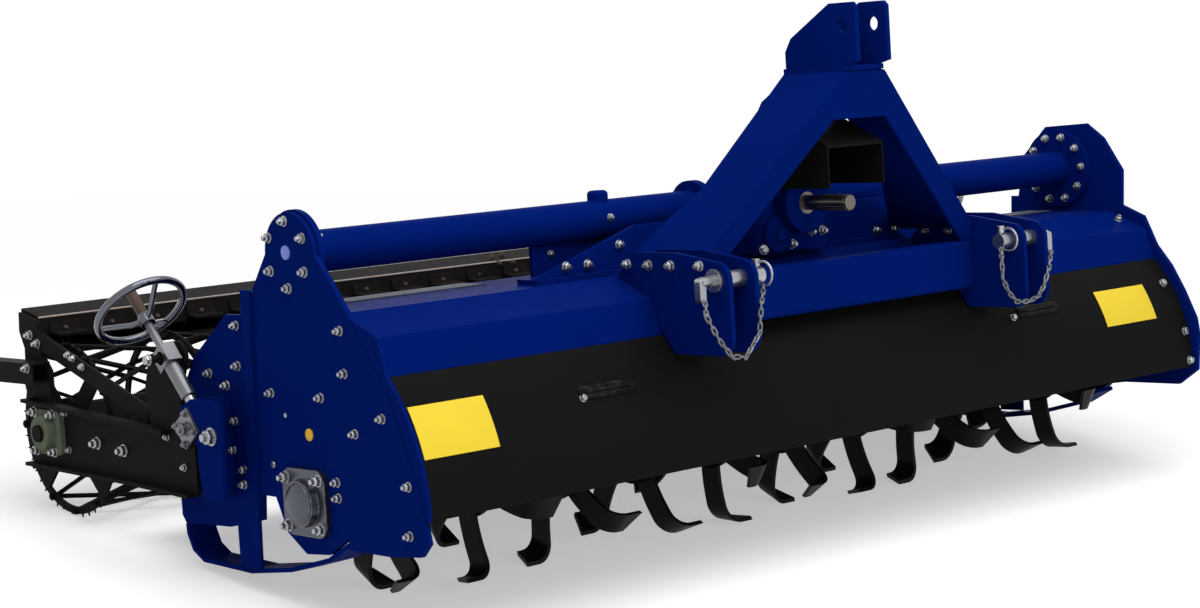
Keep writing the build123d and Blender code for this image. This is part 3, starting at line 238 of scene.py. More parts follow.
def weathering_group() -> bpy.types.NodeTree:
    """Build the group that ages a painted or bare surface.

    Returns:
        A group that puts out an aged colour, a roughness and a fine height.
    """
    tree = bpy.data.node_groups.new("weathering", "ShaderNodeTree")
    colours = ("Colour", "Worn", "Dust Colour")
    for way, names in (
        ("INPUT", (*colours, "Wear", "Dust", "Blotch", "Roughness", "Scale")),
        ("OUTPUT", ("Colour", "Roughness", "Height")),
    ):
        for name in names:
            kind = "NodeSocketColor" if name in colours else "NodeSocketFloat"
            tree.interface.new_socket(name=name, in_out=way, socket_type=kind)
    graph = Graph(tree)
    take = graph.add("NodeGroupInput").outputs
    where = {0: graph.add("TexCoord").outputs["Object"], "Scale": take["Scale"]}
    spot = graph.add("VectorMath", where, operation="SCALE").outputs[0]
    # three sizes of noise: blotches, chips and the surface's grain
    broad = graph.noise(spot, 3.5, 4.0)
    grain = graph.noise(spot, 38.0, 4.0, 0.65)
    fine = graph.noise(spot, 420.0, 2.0)
    # wear: where the surface turns an edge within 4 mm, and chips here and there
    soft_edge = graph.add("Bevel", {"Radius": 0.004}, samples=4).outputs[0]
    normal = graph.add("NewGeometry").outputs["Normal"]
    facing = graph.add("VectorMath", {0: soft_edge, 1: normal}, operation="DOT_PRODUCT").outputs["Value"]
    rubbed = graph.math("MULTIPLY", graph.span(facing, 0.985, 0.86), graph.span(grain, 0.44, 0.62))
    chips = graph.span(graph.math("MULTIPLY", grain, broad), 0.43, 0.47)
    worn = graph.math("MULTIPLY", graph.math("MAXIMUM", rubbed, chips), take["Wear"], clamp=True)
    # dust: what has settled on level faces, and a thin film in the grain
    up = graph.add("SeparateXYZ", {0: normal}).outputs[2]
    settled = graph.math("MULTIPLY", graph.span(up, 0.84, 0.985), graph.span(broad, 0.35, 0.7))
    lying = graph.math("ADD", settled, graph.span(grain, 0.55, 0.8, 0.0, 0.25))
    film = graph.math("MULTIPLY", lying, take["Dust"], clamp=True)
    # the tone wanders by the blotch to either side
    swing = graph.math("MULTIPLY", take["Blotch"], 2.0)
    wander = graph.math("MULTIPLY", graph.math("SUBTRACT", broad, 0.5), swing)
    shade = graph.math("ADD", 1.0, wander)
    toned = graph.add("VectorMath", {0: take["Colour"], "Scale": shade}, operation="SCALE").outputs[0]
    colour = graph.mix(film, graph.mix(worn, toned, take["Worn"]), take["Dust Colour"])
    rough = graph.math("ADD", take["Roughness"], graph.math("MULTIPLY", graph.math("ADD", film, worn), 0.3))
    uneven = graph.math("MULTIPLY", graph.math("SUBTRACT", grain, 0.5), 0.2)
    rough = graph.math("ADD", rough, uneven, clamp=True)
    bumps = graph.math("ADD", graph.math("MULTIPLY", fine, 0.2), graph.math("MULTIPLY", grain, 0.5))
    height = graph.math("SUBTRACT", bumps, worn)
    graph.add("NodeGroupOutput", {"Colour": colour, "Roughness": rough, "Height": height})
    return tree


@dataclass(frozen=True)
class Finish:
    """A surface finish: a paint film, plating or bare metal.

    Attributes:
        name: the material's name.
        slot: the record's material slot that pieces with this finish take, or nothing. It is not used.
        colour: the fresh surface's linear colour.
        worn: the colour of what shows where it has rubbed through; on the handwheels' chrome it is a painted
            reflection instead.
        metallic: 1 on bare metal.
        roughness: of the fresh surface.
        wear: how much of the edges and chips shows.
        dust: how much dust lies on what faces up.
        blotch: how far the tone wanders.
        relief: height of the surface's grain, in metres.
        scale: size of the weathering, where more is finer.
        specular: the surface's specular level.
        dust_colour: the dust's linear colour.
    """

    name: str
    slot: str
    colour: Triple
    worn: Triple
    metallic: float = 0.0
    roughness: float = 0.4
    wear: float = 0.5
    dust: float = 0.2
    blotch: float = 0.15
    relief: float = 0.0001
    scale: float = 1.0
    specular: float = 0.3
    dust_colour: Triple = (0.2, 0.19, 0.17)

    EDGE_R = 0.0018          # how far sharp edges look rounded, in metres

    def material(self) -> bpy.types.Material:
        """Return the finish's material, built on first use."""
        if bpy.data.materials.get(self.name):
            return bpy.data.materials[self.name]
        material, graph, shader = new_material(self.name)
        group = bpy.data.node_groups.get("weathering") or weathering_group()
        aged = graph.add("Group", {
            "Colour": rgba(self.colour), "Worn": rgba(self.worn), "Dust Colour": rgba(self.dust_colour),
            "Wear": self.wear, "Dust": self.dust, "Blotch": self.blotch, "Roughness": self.roughness,
            "Scale": self.scale,
        }, node_tree=group).outputs
        rounded = graph.add("Bevel", {"Radius": self.EDGE_R}, samples=4).outputs[0]
        relief = {"Height": aged["Height"], "Distance": self.relief, "Normal": rounded, "Strength": 1.0}
        graph.feed(shader, {
            "Base Color": aged["Colour"], "Roughness": aged["Roughness"], "Metallic": self.metallic,
            "Specular IOR Level": self.specular, "Normal": graph.add("Bump", relief).outputs[0],
        })
        return material


class Finishes(Enum):
    """The finishes on this machine."""

    BLUE = Finish(
        "blue_enamel", "blue_paint", (0.0004, 0.0105, 0.14), (0.004, 0.012, 0.06), roughness=0.36, dust=0.03,
        blotch=0.16, specular=0.003, dust_colour=(0.008, 0.022, 0.11),
    )
    DUSTY = Finish(
        "dusty_enamel", "blue_paint", (0.0004, 0.0105, 0.14), (0.004, 0.012, 0.06), dust=0.05, blotch=0.16,
        specular=0.003, dust_colour=(0.1, 0.11, 0.15),
    )
    SHIELD = Finish(
        "shield_black", "black_paint", (0.0075, 0.0075, 0.0077), (0.02, 0.02, 0.02), roughness=0.45,
        dust=0.015, specular=0.015,
    )
    DARK = Finish(
        "frame_black", "dark_paint", (0.0105, 0.009, 0.0088), (0.035, 0.022, 0.016), roughness=0.5, wear=0.7,
        dust=0.008, specular=0.02,
    )
    BLADE = Finish(
        "blade_black", "worn_steel", (0.007, 0.0062, 0.0055), (0.04, 0.03, 0.024), roughness=0.42, wear=0.6,
        dust=0.02, relief=0.0003, specular=0.1,
    )
    CAST = Finish(
        "bare_casting", "cast_iron", (0.085, 0.09, 0.108), (0.4, 0.4, 0.43), metallic=0.9, roughness=0.27,
        wear=0.6, relief=0.0006, scale=1.6,
    )
    GREEN = Finish(
        "primed_casting", "cast_green", (0.135, 0.16, 0.11), (0.2, 0.19, 0.15), roughness=0.6,
        relief=0.0005, scale=1.6, specular=0.05,
    )
    ZINC = Finish(
        "zinc_plating", "zinc_steel", (0.36, 0.37, 0.39), (0.14, 0.12, 0.09), metallic=0.95, roughness=0.27,
        wear=0.45, dust=0.01, blotch=0.4, scale=3.0,
    )
    SATIN = Finish(
        "satin_zinc", "zinc_steel", (0.17, 0.175, 0.19), (0.08, 0.065, 0.05), metallic=0.92, roughness=0.36,
        dust=0.01, blotch=0.3, scale=2.0,
    )
    BARE = Finish(
        "turned_steel", "bare_steel", (0.16, 0.145, 0.13), (0.07, 0.04, 0.03), metallic=0.95, roughness=0.3,
        wear=0.7, dust=0.05, scale=2.0,
    )
    # painted reflection: the dark chrome colour, and the brown worn colour shown in patches at full wear with a
    # strong blotch, stand in for the dark surroundings and the brown ground that the rim mirrors, not rust
    CHROME_PAINTED_REFLECTION = Finish(
        "chrome_rim_painted_reflection", "chrome", (0.13, 0.135, 0.16), (0.1, 0.05, 0.035), metallic=1.0, roughness=0.12,
        wear=1.0, dust=0.0, blotch=0.5, scale=1.6,
    )
    YELLOW = Finish(
        "yellow_plate", "", (0.84, 0.62, 0.034), (0.8, 0.6, 0.1), roughness=0.5, wear=0.1, dust=0.03,
        specular=0.2,
    )
    PLUG = Finish("plug_yellow", "", (0.85, 0.5, 0.02), (0.4, 0.25, 0.05), wear=0.3)
    CAP = Finish("cap_pale_blue", "", (0.2, 0.27, 0.75), (0.3, 0.35, 0.8), wear=0.1, dust=0.05)
    LATCH = Finish(
        "latch_black", "black_paint", (0.007, 0.007, 0.0072), (0.06, 0.06, 0.06), roughness=0.38, wear=0.8,
        dust=0.02, specular=0.05,
    )
    # painted highlight: the pale colour of the line drawn along the scraper beam's top edge, where light catches
    # it
    EDGE_HIGHLIGHT = Finish(
        "painted_edge_highlight", "bare_steel", (0.42, 0.36, 0.32), (0.2, 0.14, 0.1), metallic=0.2, roughness=0.5,
        dust=0.1, scale=2.0,
    )
    SEAM = Finish(
        "grey_seam", "bare_steel", (0.15, 0.165, 0.2), (0.03, 0.05, 0.14), roughness=0.6, wear=0.9, dust=0.1,
        blotch=0.5, scale=1.5, specular=0.1,
    )
    RUST = Finish(
        "rusty_steel", "bare_steel", (0.075, 0.048, 0.036), (0.03, 0.018, 0.012), metallic=0.3,
        roughness=0.6, wear=0.6, dust=0.1, scale=2.0,
    )

    @property
    def material(self) -> bpy.types.Material:
        """The finish's material."""
        return self.value.material()


# ------------------------------------------------------------------ pieces
def linked(name: str, data: bpy.types.ID) -> bpy.types.Object:
    """Make an object of some data and link it to the scene."""
    made = bpy.data.objects.new(name, data)
    bpy.context.scene.collection.objects.link(made)
    return made


class Piece:
    """A mesh piece in the making, with its name, body and finish."""

    def __init__(self, name: str, body: str, finish: Finishes) -> None:
        """Start an empty piece.

        Args:
            name: the piece's name.
            body: the record's body that it rides on.
            finish: its surface finish.
        """
        self.name = name
        self.body = body
        self.finish = finish
        self.mesh = bmesh.new()

    def stamp(self, shape: bpy.types.Mesh, place: Matrix | None = None) -> "Piece":
        """Add a copy of a finished shape at a place.

        Args:
            shape: the template mesh, in its own metres.
            place: where it goes in the row frame, or nothing where it is there already.

        Returns:
            The same piece.
        """
        known = len(self.mesh.verts)
        self.mesh.from_mesh(shape)
        if place is not None:
            self.mesh.verts.ensure_lookup_table()
            bmesh.ops.transform(self.mesh, matrix=place, verts=self.mesh.verts[known:])
        return self

    def done(self, *replaced: str, smooth: float = 40.0) -> None:
        """Make the object, ride it on its body and dress it.

        Args:
            replaced: CAD nodes that the piece stands for.
            smooth: the angle, in degrees, under which faces shade as one.
        """
        bmesh.ops.recalc_face_normals(self.mesh, faces=self.mesh.faces)
        data = bpy.data.meshes.new(self.name)
        self.mesh.to_mesh(data)
        self.mesh.free()
        data.shade_smooth()
        data.set_sharp_from_angle(angle=math.radians(smooth))
        data.materials.append(self.finish.material)
        piece = linked(self.name, data)
        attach(piece, self.body)
        if replaced:
            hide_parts(*replaced)
        LOG.info("%s: %d faces on %s", self.name, len(data.polygons), self.body)


def template(name: str, build: Callable[[bmesh.types.BMesh], None]) -> bpy.types.Mesh:
    """Return a template mesh, made on first use.

    Args:
        name: the mesh's name.
        build: fills an empty bmesh with the shape.

    Returns:
        The mesh.
    """
    if bpy.data.meshes.get(name) is None:
        mesh = bmesh.new()
        build(mesh)
        mesh.to_mesh(bpy.data.meshes.new(name))
        mesh.free()
    return bpy.data.meshes[name]


def wire_shape(
    name: str, line: Sequence[Vector], radius: float, closed: bool = False, sides: int = 8
) -> bpy.types.Mesh:
    """Sweep a round wire along a line.

    Args:
        name: the template's name.
        line: the points of its middle, in metres.
        radius: the wire's radius, in millimetres.
        closed: whether the last point joins the first.
        sides: the wire's number of sides.

    Returns:
        The template mesh.
    """
    curve = bpy.data.curves.new(name, "CURVE")
    curve.dimensions = "3D"
    curve.bevel_depth = radius * MM
    curve.bevel_resolution = sides // 2 - 2
    curve.use_fill_caps = not closed
    spline = curve.splines.new("POLY")
    spline.points.add(len(line) - 1)
    for target, point in zip(spline.points, line):
        target.co = (*point, 1.0)
    spline.use_cyclic_u = closed
    holder = bpy.data.objects.new(name, curve)
    mesh = bpy.data.meshes.new_from_object(holder)
    bpy.data.objects.remove(holder)
    bpy.data.curves.remove(curve)
    return mesh


def drum(mesh: bmesh.types.BMesh, low_r: float, high_r: float, low: float, high: float, sides: int) -> None:
    """Add a closed drum or cone about +Z. Sizes in millimetres.

    Args:
        mesh: the bmesh that takes it.
        low_r: the radius at its foot.
        high_r: the radius at its top.
        low: the height of its foot.
        high: the height of its top.
        sides: the number of sides.
    """
    bmesh.ops.create_cone(
        mesh, cap_ends=True, segments=sides, radius1=low_r * MM, radius2=high_r * MM, depth=(high - low) * MM,
        matrix=Matrix.Translation((0, 0, (low + high) / 2 * MM)),
    )


def drum_shape(
    name: str, radius: float, height: float, crown: float = 0.85, sides: int = 24
) -> bpy.types.Mesh:
    """Return a drum with a bevelled top that stands on its foot, as a template mesh.

    Args:
        name: the template's name.
        radius: the drum's radius, in millimetres.
        height: its height, in millimetres.
        crown: the top's share of the radius.
        sides: the number of sides.

    Returns:
        The template mesh.
    """
    def build(mesh: bmesh.types.BMesh) -> None:
        """Add the wall and, over seven tenths of the height, the bevelled top.

        Args:
            mesh: the bmesh that takes the drum.
        """
        shoulder = height * 0.7
        drum(mesh, radius, radius, 0.0, shoulder, sides)
        drum(mesh, radius, radius * crown, shoulder, height, sides)

    return template(name, build)


def block_shape(name: str, size: Triple, step: float) -> bpy.types.Mesh:
    """Return a block with stepped edges that stands on its foot, as a template mesh.

    Args:
        name: the template's name.
        size: its length along X, Y and Z, in millimetres.
        step: how deep each edge is cut in, in millimetres.

    Returns:
        The template mesh.
    """
    def build(mesh: bmesh.types.BMesh) -> None:
        """Scale a cube to the size and step its edges in.

        Args:
            mesh: the bmesh that takes the block.
        """
        lift = Matrix.Translation((0, 0, size[2] / 2 * MM))
        scale = Matrix.Diagonal((size[0] * MM, size[1] * MM, size[2] * MM, 1))
        made = bmesh.ops.create_cube(mesh, size=1.0, matrix=lift @ scale)
        edges = list({edge for vert in made["verts"] for edge in vert.link_edges})
        # a profile of 0 cuts each edge square inwards
        bmesh.ops.bevel(
            mesh, geom=edges, offset=step * MM, segments=2, profile=0.0, material=-1, affect="EDGES",
            clamp_overlap=True,
        )

    return template(name, build)


def dome_shape(name: str, radius: float, height: float) -> bpy.types.Mesh:
    """Return a low dome that stands on its rim, as a template mesh.

    Args:
        name: the template's name.
        radius: the rim's radius, in millimetres.
        height: the dome's height, in millimetres.

    Returns:
        The template mesh.
    """
    sides, rings = 36, 7

    def build(mesh: bmesh.types.BMesh) -> None:
        """Spin a quarter of an ellipse about the middle.

        Args:
            mesh: the bmesh that takes the dome.
        """
        turns = [math.pi / 2 * step / rings for step in range(rings + 1)]
        line = [mesh.verts.new((radius * math.cos(a) * MM, 0.0, height * math.sin(a) * MM)) for a in turns]
        edges = [mesh.edges.new(pair) for pair in zip(line, line[1:])]
        bmesh.ops.spin(
            mesh, geom=line + edges, cent=(0, 0, 0), axis=(0, 0, 1), angle=math.tau, steps=sides,
            use_merge=True,
        )
        bmesh.ops.remove_doubles(mesh, verts=mesh.verts, dist=1e-6)
        bmesh.ops.holes_fill(mesh, edges=mesh.edges, sides=0)
        bmesh.ops.recalc_face_normals(mesh, faces=mesh.faces)

    return template(name, build)


class Skin:
    """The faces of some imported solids, on which fittings are seated."""

    REACH = 90.0             # how far out the search for a seat starts, in millimetres

    def __init__(self, *nodes: str) -> None:
        """Gather the faces of some solids.

        Args:
            nodes: the names of their nodes.
        """
        points: list[Vector] = []
        faces: list[list[int]] = []
        for name in nodes:
            node = frame["nodes"][name]
            start = len(points)
            points.extend(node.matrix_world @ vertex.co for vertex in node.data.vertices)
            faces.extend([start + index for index in face.vertices] for face in node.data.polygons)
        self.tree = BVHTree.FromPolygons(points, faces)

    def touches(self, spot: Triple, facing: Triple, reach: float) -> bool:
        """Tell whether a surface lies within a reach, in millimetres, over or under a spot."""
        outward = STANCE.way(*facing).normalized() * reach * MM
        return self.tree.ray_cast(STANCE.point(*spot) + outward, -outward, 2 * reach * MM)[0] is not None

    def seat(self, spot: Triple, facing: Triple) -> Matrix:
        """Find the outermost surface at a spot.

        Args:
            spot: a machine point on or near the surface, in millimetres.
            facing: the machine direction from which the surface is looked for.

        Returns:
            The placing there, its +Z along the surface's normal.
        """
        outward = STANCE.way(*facing).normalized()
        hit, normal, _, _ = self.tree.ray_cast(STANCE.point(*spot) + outward * self.REACH * MM, -outward)
        if hit is None:
            raise ValueError(f"no surface under {spot}")
        if normal.dot(outward) < 0:
            normal.negate()
        return Matrix.Translation(hit) @ aimed(normal)


@dataclass(frozen=True)
class HexBolt:
    """A hexagon bolt's head on its washer, standing on its origin and facing +Z.

    Attributes:
        flats: the width across flats, in millimetres.
        height: the head's height over the washer.
        stub: how far the bolt's own end stands out of a nut, or nothing.
    """

    flats: float = 15.5
    height: float = 10.0
    stub: float = 6.0

    # shares of the width across flats
    WASHER, WASHER_T = 1.35, 0.14
    CORNER_R, SHOULDER_R, TOP_R = 0.577, 0.56, 0.46
    STUB_R, STUB_END_R = 0.32, 0.29
    CHAMFER = 0.2            # share of the height

    def shape(self) -> bpy.types.Mesh:
        """Return the template mesh, built on first use."""
        return template(f"bolt_{self.flats:g}_{self.height:g}_{self.stub:g}", self.build)

    def build(self, mesh: bmesh.types.BMesh) -> None:
        """Build the washer, the chamfered head and the end of the bolt, if any.

        Args:
            mesh: the bmesh that takes them.
        """
        thick = self.flats * self.WASHER_T
        disc = self.flats * self.WASHER / 2
        top = thick + self.height
        shoulder = top - self.height * self.CHAMFER
        drum(mesh, disc, disc, 0.0, thick, 16)
        drum(mesh, self.flats * self.CORNER_R, self.flats * self.CORNER_R, thick, shoulder, 6)
        drum(mesh, self.flats * self.SHOULDER_R, self.flats * self.TOP_R, shoulder, top, 6)
        if self.stub:
            drum(mesh, self.flats * self.STUB_R, self.flats * self.STUB_END_R, top, top + self.stub, 10)


SCREW = HexBolt(9.0, 4.0, stub=0)
SMALL_BOLT = HexBolt(13.0, 7.0, stub=3.0)
MIDDLE_BOLT = HexBolt(15.0, 8.0)
COMMON_BOLT = HexBolt()
LUG_BOLT = HexBolt(16.0, 9.0)
RING_BOLT = HexBolt(16.0, 9.0, stub=5.0)
PLATE_BOLT = HexBolt(17.0, 9.0)
BEARING_BOLT = HexBolt(20.0, 12.0, stub=8.0)
LARGE_BOLT = HexBolt(30.0, 15.0, stub=8.0)


@dataclass
class Fixings:
    """The bolts of one body, gathered into one piece and seated on its solids."""

    name: str
    body: str
    nodes: tuple[str, ...]
    finish: Finishes = Finishes.ZINC
    spots: list[tuple[Triple, Triple, HexBolt]] = field(default_factory=list)

    def add(self, facing: Triple, spots: Iterable[Triple], bolt: HexBolt = COMMON_BOLT) -> "Fixings":
        """Add bolts that face one way.

        Args:
            facing: the machine direction that the heads face.
            spots: machine points near the surface under the washers, in millimetres.
            bolt: the bolt's size.

        Returns:
            The same set.
        """
        self.spots.extend((spot, facing, bolt) for spot in spots)
        return self

    def circle(
        self, facing: Triple, middle: Triple, radius: float, angles: Iterable[float], bolt: HexBolt
    ) -> "Fixings":
        """Add bolts on a circle about an axis that runs across the machine.

        Args:
            facing: the machine direction that the heads face, along +X or -X.
            middle: the circle's middle.
            radius: its radius, in millimetres.
            angles: each bolt's angle from rearwards, in degrees.
            bolt: the bolt's size.

        Returns:
            The same set.
        """
        return self.add(facing, wheel_spots(middle, radius, map(math.radians, angles)), bolt)

    def make(self) -> None:
        """Build the piece, each bolt turned by chance from its neighbour."""
        chance = random.Random(self.name)
        skin = Skin(*self.nodes)
        piece = Piece(self.name, self.body, self.finish)
        for spot, facing, bolt in self.spots:
            spin = Matrix.Rotation(chance.uniform(0, math.pi / 3), 4, "Z")
            piece.stamp(bolt.shape(), skin.seat(spot, facing) @ spin)
        piece.done(smooth=30)


# ------------------------------------------------------------------ side plates
def flank(sign: int, spots: Iterable[Pair]) -> list[Triple]:
    """Return points, given rearwards and up, on the outer side of one flank."""
    return [(sign * FLANK, rear, up) for rear, up in spots]


@dataclass(frozen=True)
class SidePlates:
    """Bolts, plugs and caps of the side plates, panels, bearing and gear case."""

    head: Triple = (-FLANK, 16.0, 757.0)
    head_r: float = 70.0
    left_bolts: tuple = (
        (-153.7, 604.3), (-159.5, 517.0), (107.0, 463.9), (-71.5, 463.2), (-277.8, 431.8), (-182.5, 395.0),
        (-348.5, 300.1), (-343.5, 200.5), (-108.0, 290.0), (-109.5, 257.5),
    )
    right_bolts: tuple = (
        (-170.0, 640.0), (-262.0, 560.0), (-330.0, 440.0), (-380.0, 330.0), (-370.0, 225.0), (-250.0, 215.0),
    )
    panel_bolts: tuple = (
        (222.0, 603.0), (226.0, 516.0), (339.0, 495.0), (273.6, 471.8), (252.0, 395.0), (266.8, 331.2),
        (230.5, 291.3), (223.0, 261.0), (467.0, 280.0),
    )
    bracket_bolt: Pair = (225.0, 374.4)
    bearing_bolts: tuple = ((58.0, 291.0), (-58.0, 291.0), (58.0, 189.0), (-58.0, 189.0))
    dome: Triple = (-1300.0, 0.0, ROTOR_UP)
    dome_size: Pair = (44.0, 11.0)
    case_out: float = 1340.0
    case_bolts: tuple = (
        (TUBE, 72.0, (10.0, 65.0, 120.0, 170.0)),
        ((6.0, 500.0), 96.0, (0.0, 180.0, 28.0, 152.0, -28.0, -152.0)),
        ((0.0, ROTOR_UP), 90.0, (-10.0, -65.0, -115.0, -170.0)),
    )
    beam_bolt: Triple = (1222.6, -212.4, 618.1)
    beam_way: Triple = (0, -0.38, 0.93)
    ring_r: float = 86.0
    nuts_r: float = 72.0
    plugs: tuple = (
        ("plug_left_plate", Finishes.PLUG, (-20.8, 383.2), 13.0, 4.0),
        ("cap_left_plate", Finishes.CAP, (18.0, 761.6), 15.0, 4.0),
        ("rivet_upper", Finishes.ZINC, (61.0, 419.0), 5.0, 3.0),
        ("rivet_lower", Finishes.ZINC, (115.8, 311.2), 7.0, 6.0),
    )

    def make(self) -> None:
        """Fit both sides, the gear case, the beam and the tube's flanges."""
        left = Fixings("bolts_left_plate", "frame", ("side_plate_left", "rear_panel_left", "post_left"))
        left.circle(LEFT, self.head, self.head_r, range(30, 390, 60), PLATE_BOLT)
        left.add(LEFT, flank(-1, self.left_bolts + self.panel_bolts)).make()
        right = Fixings("bolts_right_plate", "frame", ("side_plate_right", "rear_panel_right", "post_right"))
        right.add(RIGHT, flank(1, self.right_bolts + self.panel_bolts)).make()
        for side, sign in SIDES:
            bracket = Fixings(f"bolts_bracket_{side}", "frame", (f"jack_bracket_{side}",))
            bracket.add((sign, 0, 0), flank(sign, (self.bracket_bolt,)), LARGE_BOLT).make()
        self.bearing()
        case = Fixings("bolts_gear_case", "frame", ("gear_case", "case_cover"))
        for middle, radius, angles in self.case_bolts:
            case.circle(RIGHT, (self.case_out, *middle), radius, angles, SMALL_BOLT)
        case.make()
        beam = Fixings("bolts_front_beam", "frame", ("front_beam",))
        beam.add(self.beam_way, (self.beam_bolt,), HexBolt(17.0, 8.0)).make()
        ring = Fixings("bolts_tube_ring", "frame", ("tube_right",))
        ring.circle(LEFT, (TUBE_END, *TUBE), self.ring_r, range(34, 394, 36), RING_BOLT).make()
        nuts = Fixings("nuts_tube_ring", "frame", ("tube_left",))
        nuts.circle(RIGHT, (-TUBE_END, *TUBE), self.nuts_r, (150, 210, 270), MIDDLE_BOLT).make()
        skin = Skin("side_plate_left")
        for name, finish, spot, radius, height in self.plugs:
            shape = drum_shape(f"{name}_shape", radius, height)
            Piece(name, "frame", finish).stamp(shape, skin.seat((-FLANK, *spot), LEFT)).done()

    def bearing(self) -> None:
        """Bolt the rotor's bearing to the left plate and crown its cover."""
        bolts = Fixings("bolts_rotor_bearing", "frame", ("rotor_bearing",))
        bolts.add(LEFT, flank(-1, self.bearing_bolts), BEARING_BOLT).make()
        seat = Skin("rotor_bearing").seat(self.dome, LEFT)
        crown = Piece("bearing_dome", "frame", Finishes.CAST)
        crown.stamp(dome_shape("bearing_dome_shape", *self.dome_size), seat).done(smooth=50)


# ------------------------------------------------------------------ hitch
@dataclass(frozen=True)
class Chain:
    """A hanging run of small welded links. Sizes in millimetres."""

    name: str
    path: tuple[Triple, ...]

    PITCH, WIDTH, WIRE_R = 15.0, 12.5, 2.3

    def link(self) -> bpy.types.Mesh:
        """Return one long link, built on first use."""
        name = "chain_link"
        half = (self.PITCH + 2 * self.WIRE_R) / 2 - self.WIDTH / 2 + self.WIRE_R
        bend = self.WIDTH / 2 - self.WIRE_R
        line = []
        for end, first in ((1, 0), (-1, 180)):
            for turn in (math.radians(first + step * 45) for step in range(5)):
                line.append(Vector((bend * math.cos(turn), 0, end * half + bend * math.sin(turn))) * MM)
        return bpy.data.meshes.get(name) or wire_shape(name, line, self.WIRE_R, closed=True, sides=6)

    def make(self) -> None:
        """String the links along the path, each turned a quarter from its neighbour."""
        points = [STANCE.point(*spot) for spot in self.path]
        piece = Piece(self.name, "frame", Finishes.SATIN)
        pitch = self.PITCH * MM
        count, rest = 0, pitch / 2
        for start, end in zip(points, points[1:]):
            way = end - start
            length = way.length
            while rest < length:
                roll = Matrix.Rotation(math.pi / 2 * (count % 2), 4, "Z")
                place = Matrix.Translation(start + way * (rest / length))
                piece.stamp(self.link(), place @ aimed(way) @ roll)
                rest += pitch
                count += 1
            rest -= length
        piece.done()


@dataclass(frozen=True)
class Hitch:
    """Linch pins, rings, chains and bolts of the lower hitch. Sizes in millimetres."""

    middle: float = 14.0
    pin: Pair = (-472.0, 637.0)
    linch: float = 412.0
    linch_tip: float = 34.0
    linch_drums: tuple = ((3.0, 5.0, 0.0, 6.0, 12), (5.0, 5.0, 6.0, 56.0, 12), (9.0, 9.0, 54.0, 70.0, 16))
    ring_from_pin: Pair = (-21.0, 4.0)
    ring_r: float = 27.0
    ring_wire_r: float = 2.6
    ring_steps: int = 20
    chains: tuple = (
        (
            (-567.0, -484.0, 598.0), (-592.0, -512.0, 570.0), (-572.0, -524.0, 520.0), (-535.0, -524.0, 478.0),
            (-493.0, -524.0, 474.0), (-448.0, -522.0, 518.0), (-436.0, -520.0, 580.0), (-398.0, -492.0, 612.0),
        ),
        (
            (402.0, -490.0, 622.0), (368.0, -518.0, 600.0), (364.0, -522.0, 554.0), (382.0, -524.0, 520.0),
            (410.0, -524.0, 496.0), (452.0, -524.0, 492.0), (488.0, -524.0, 500.0), (514.0, -522.0, 522.0),
            (540.0, -518.0, 560.0), (572.0, -500.0, 590.0), (595.0, -484.0, 600.0),
        ),
    )
    lug_bolts: tuple = (
        (LEFT, HexBolt(18.0, 10.0), (
            (-521.0, -198.0, 668.0), (-521.0, -266.5, 667.0), (-521.0, -336.5, 667.0), (-521.0, -427.0, 668.0),
        )),
        (FORWARDS, LUG_BOLT, ((385.0, GUSSET_FRONT, 664.0), (452.0, GUSSET_FRONT, 664.0))),
        (LEFT, LUG_BOLT, ((459.0, -209.0, 655.0), (459.0, -283.0, 657.0))),
    )

    def make(self) -> None:
        """Fit both sides of the hitch."""
        for (side, sign), path in zip(SIDES, self.chains):
            Chain(f"chain_{side}", path).make()
            self.linch_pin(side, sign)
        lugs = Fixings("bolts_lugs", "frame", ("hitch_lug_left", "hitch_lug_right", "gussets", "base_plate"))
        for facing, bolt, spots in self.lug_bolts:
            lugs.add(facing, spots, bolt)
        lugs.make()

    def linch_pin(self, side: str, sign: int) -> None:
        """Put a linch pin with its sprung ring through the tail of a hitch pin.

        Args:
            side: the side's name.
            sign: -1 on the left and 1 on the right.
        """
        across = self.middle + sign * self.linch
        rear, up = self.pin
        piece = Piece(f"linch_pin_{side}", "frame", Finishes.ZINC)
        place = STANCE.place((across, rear, up - self.linch_tip), UPWARDS)
        piece.stamp(template("linch", self.linch_shape), place)
        turns = [math.radians(step * 360 / self.ring_steps) for step in range(self.ring_steps)]
        middle = (across, rear + self.ring_from_pin[0], up + self.ring_from_pin[1])
        ring = [STANCE.point(*spot) for spot in wheel_spots(middle, self.ring_r, turns)]
        piece.stamp(wire_shape(f"ring_{side}", ring, self.ring_wire_r, closed=True)).done()

    def linch_shape(self, mesh: bmesh.types.BMesh) -> None:
        """Build the linch pin's tapered tip, stem and head, standing on its tip."""
        for size in self.linch_drums:
            drum(mesh, *size)


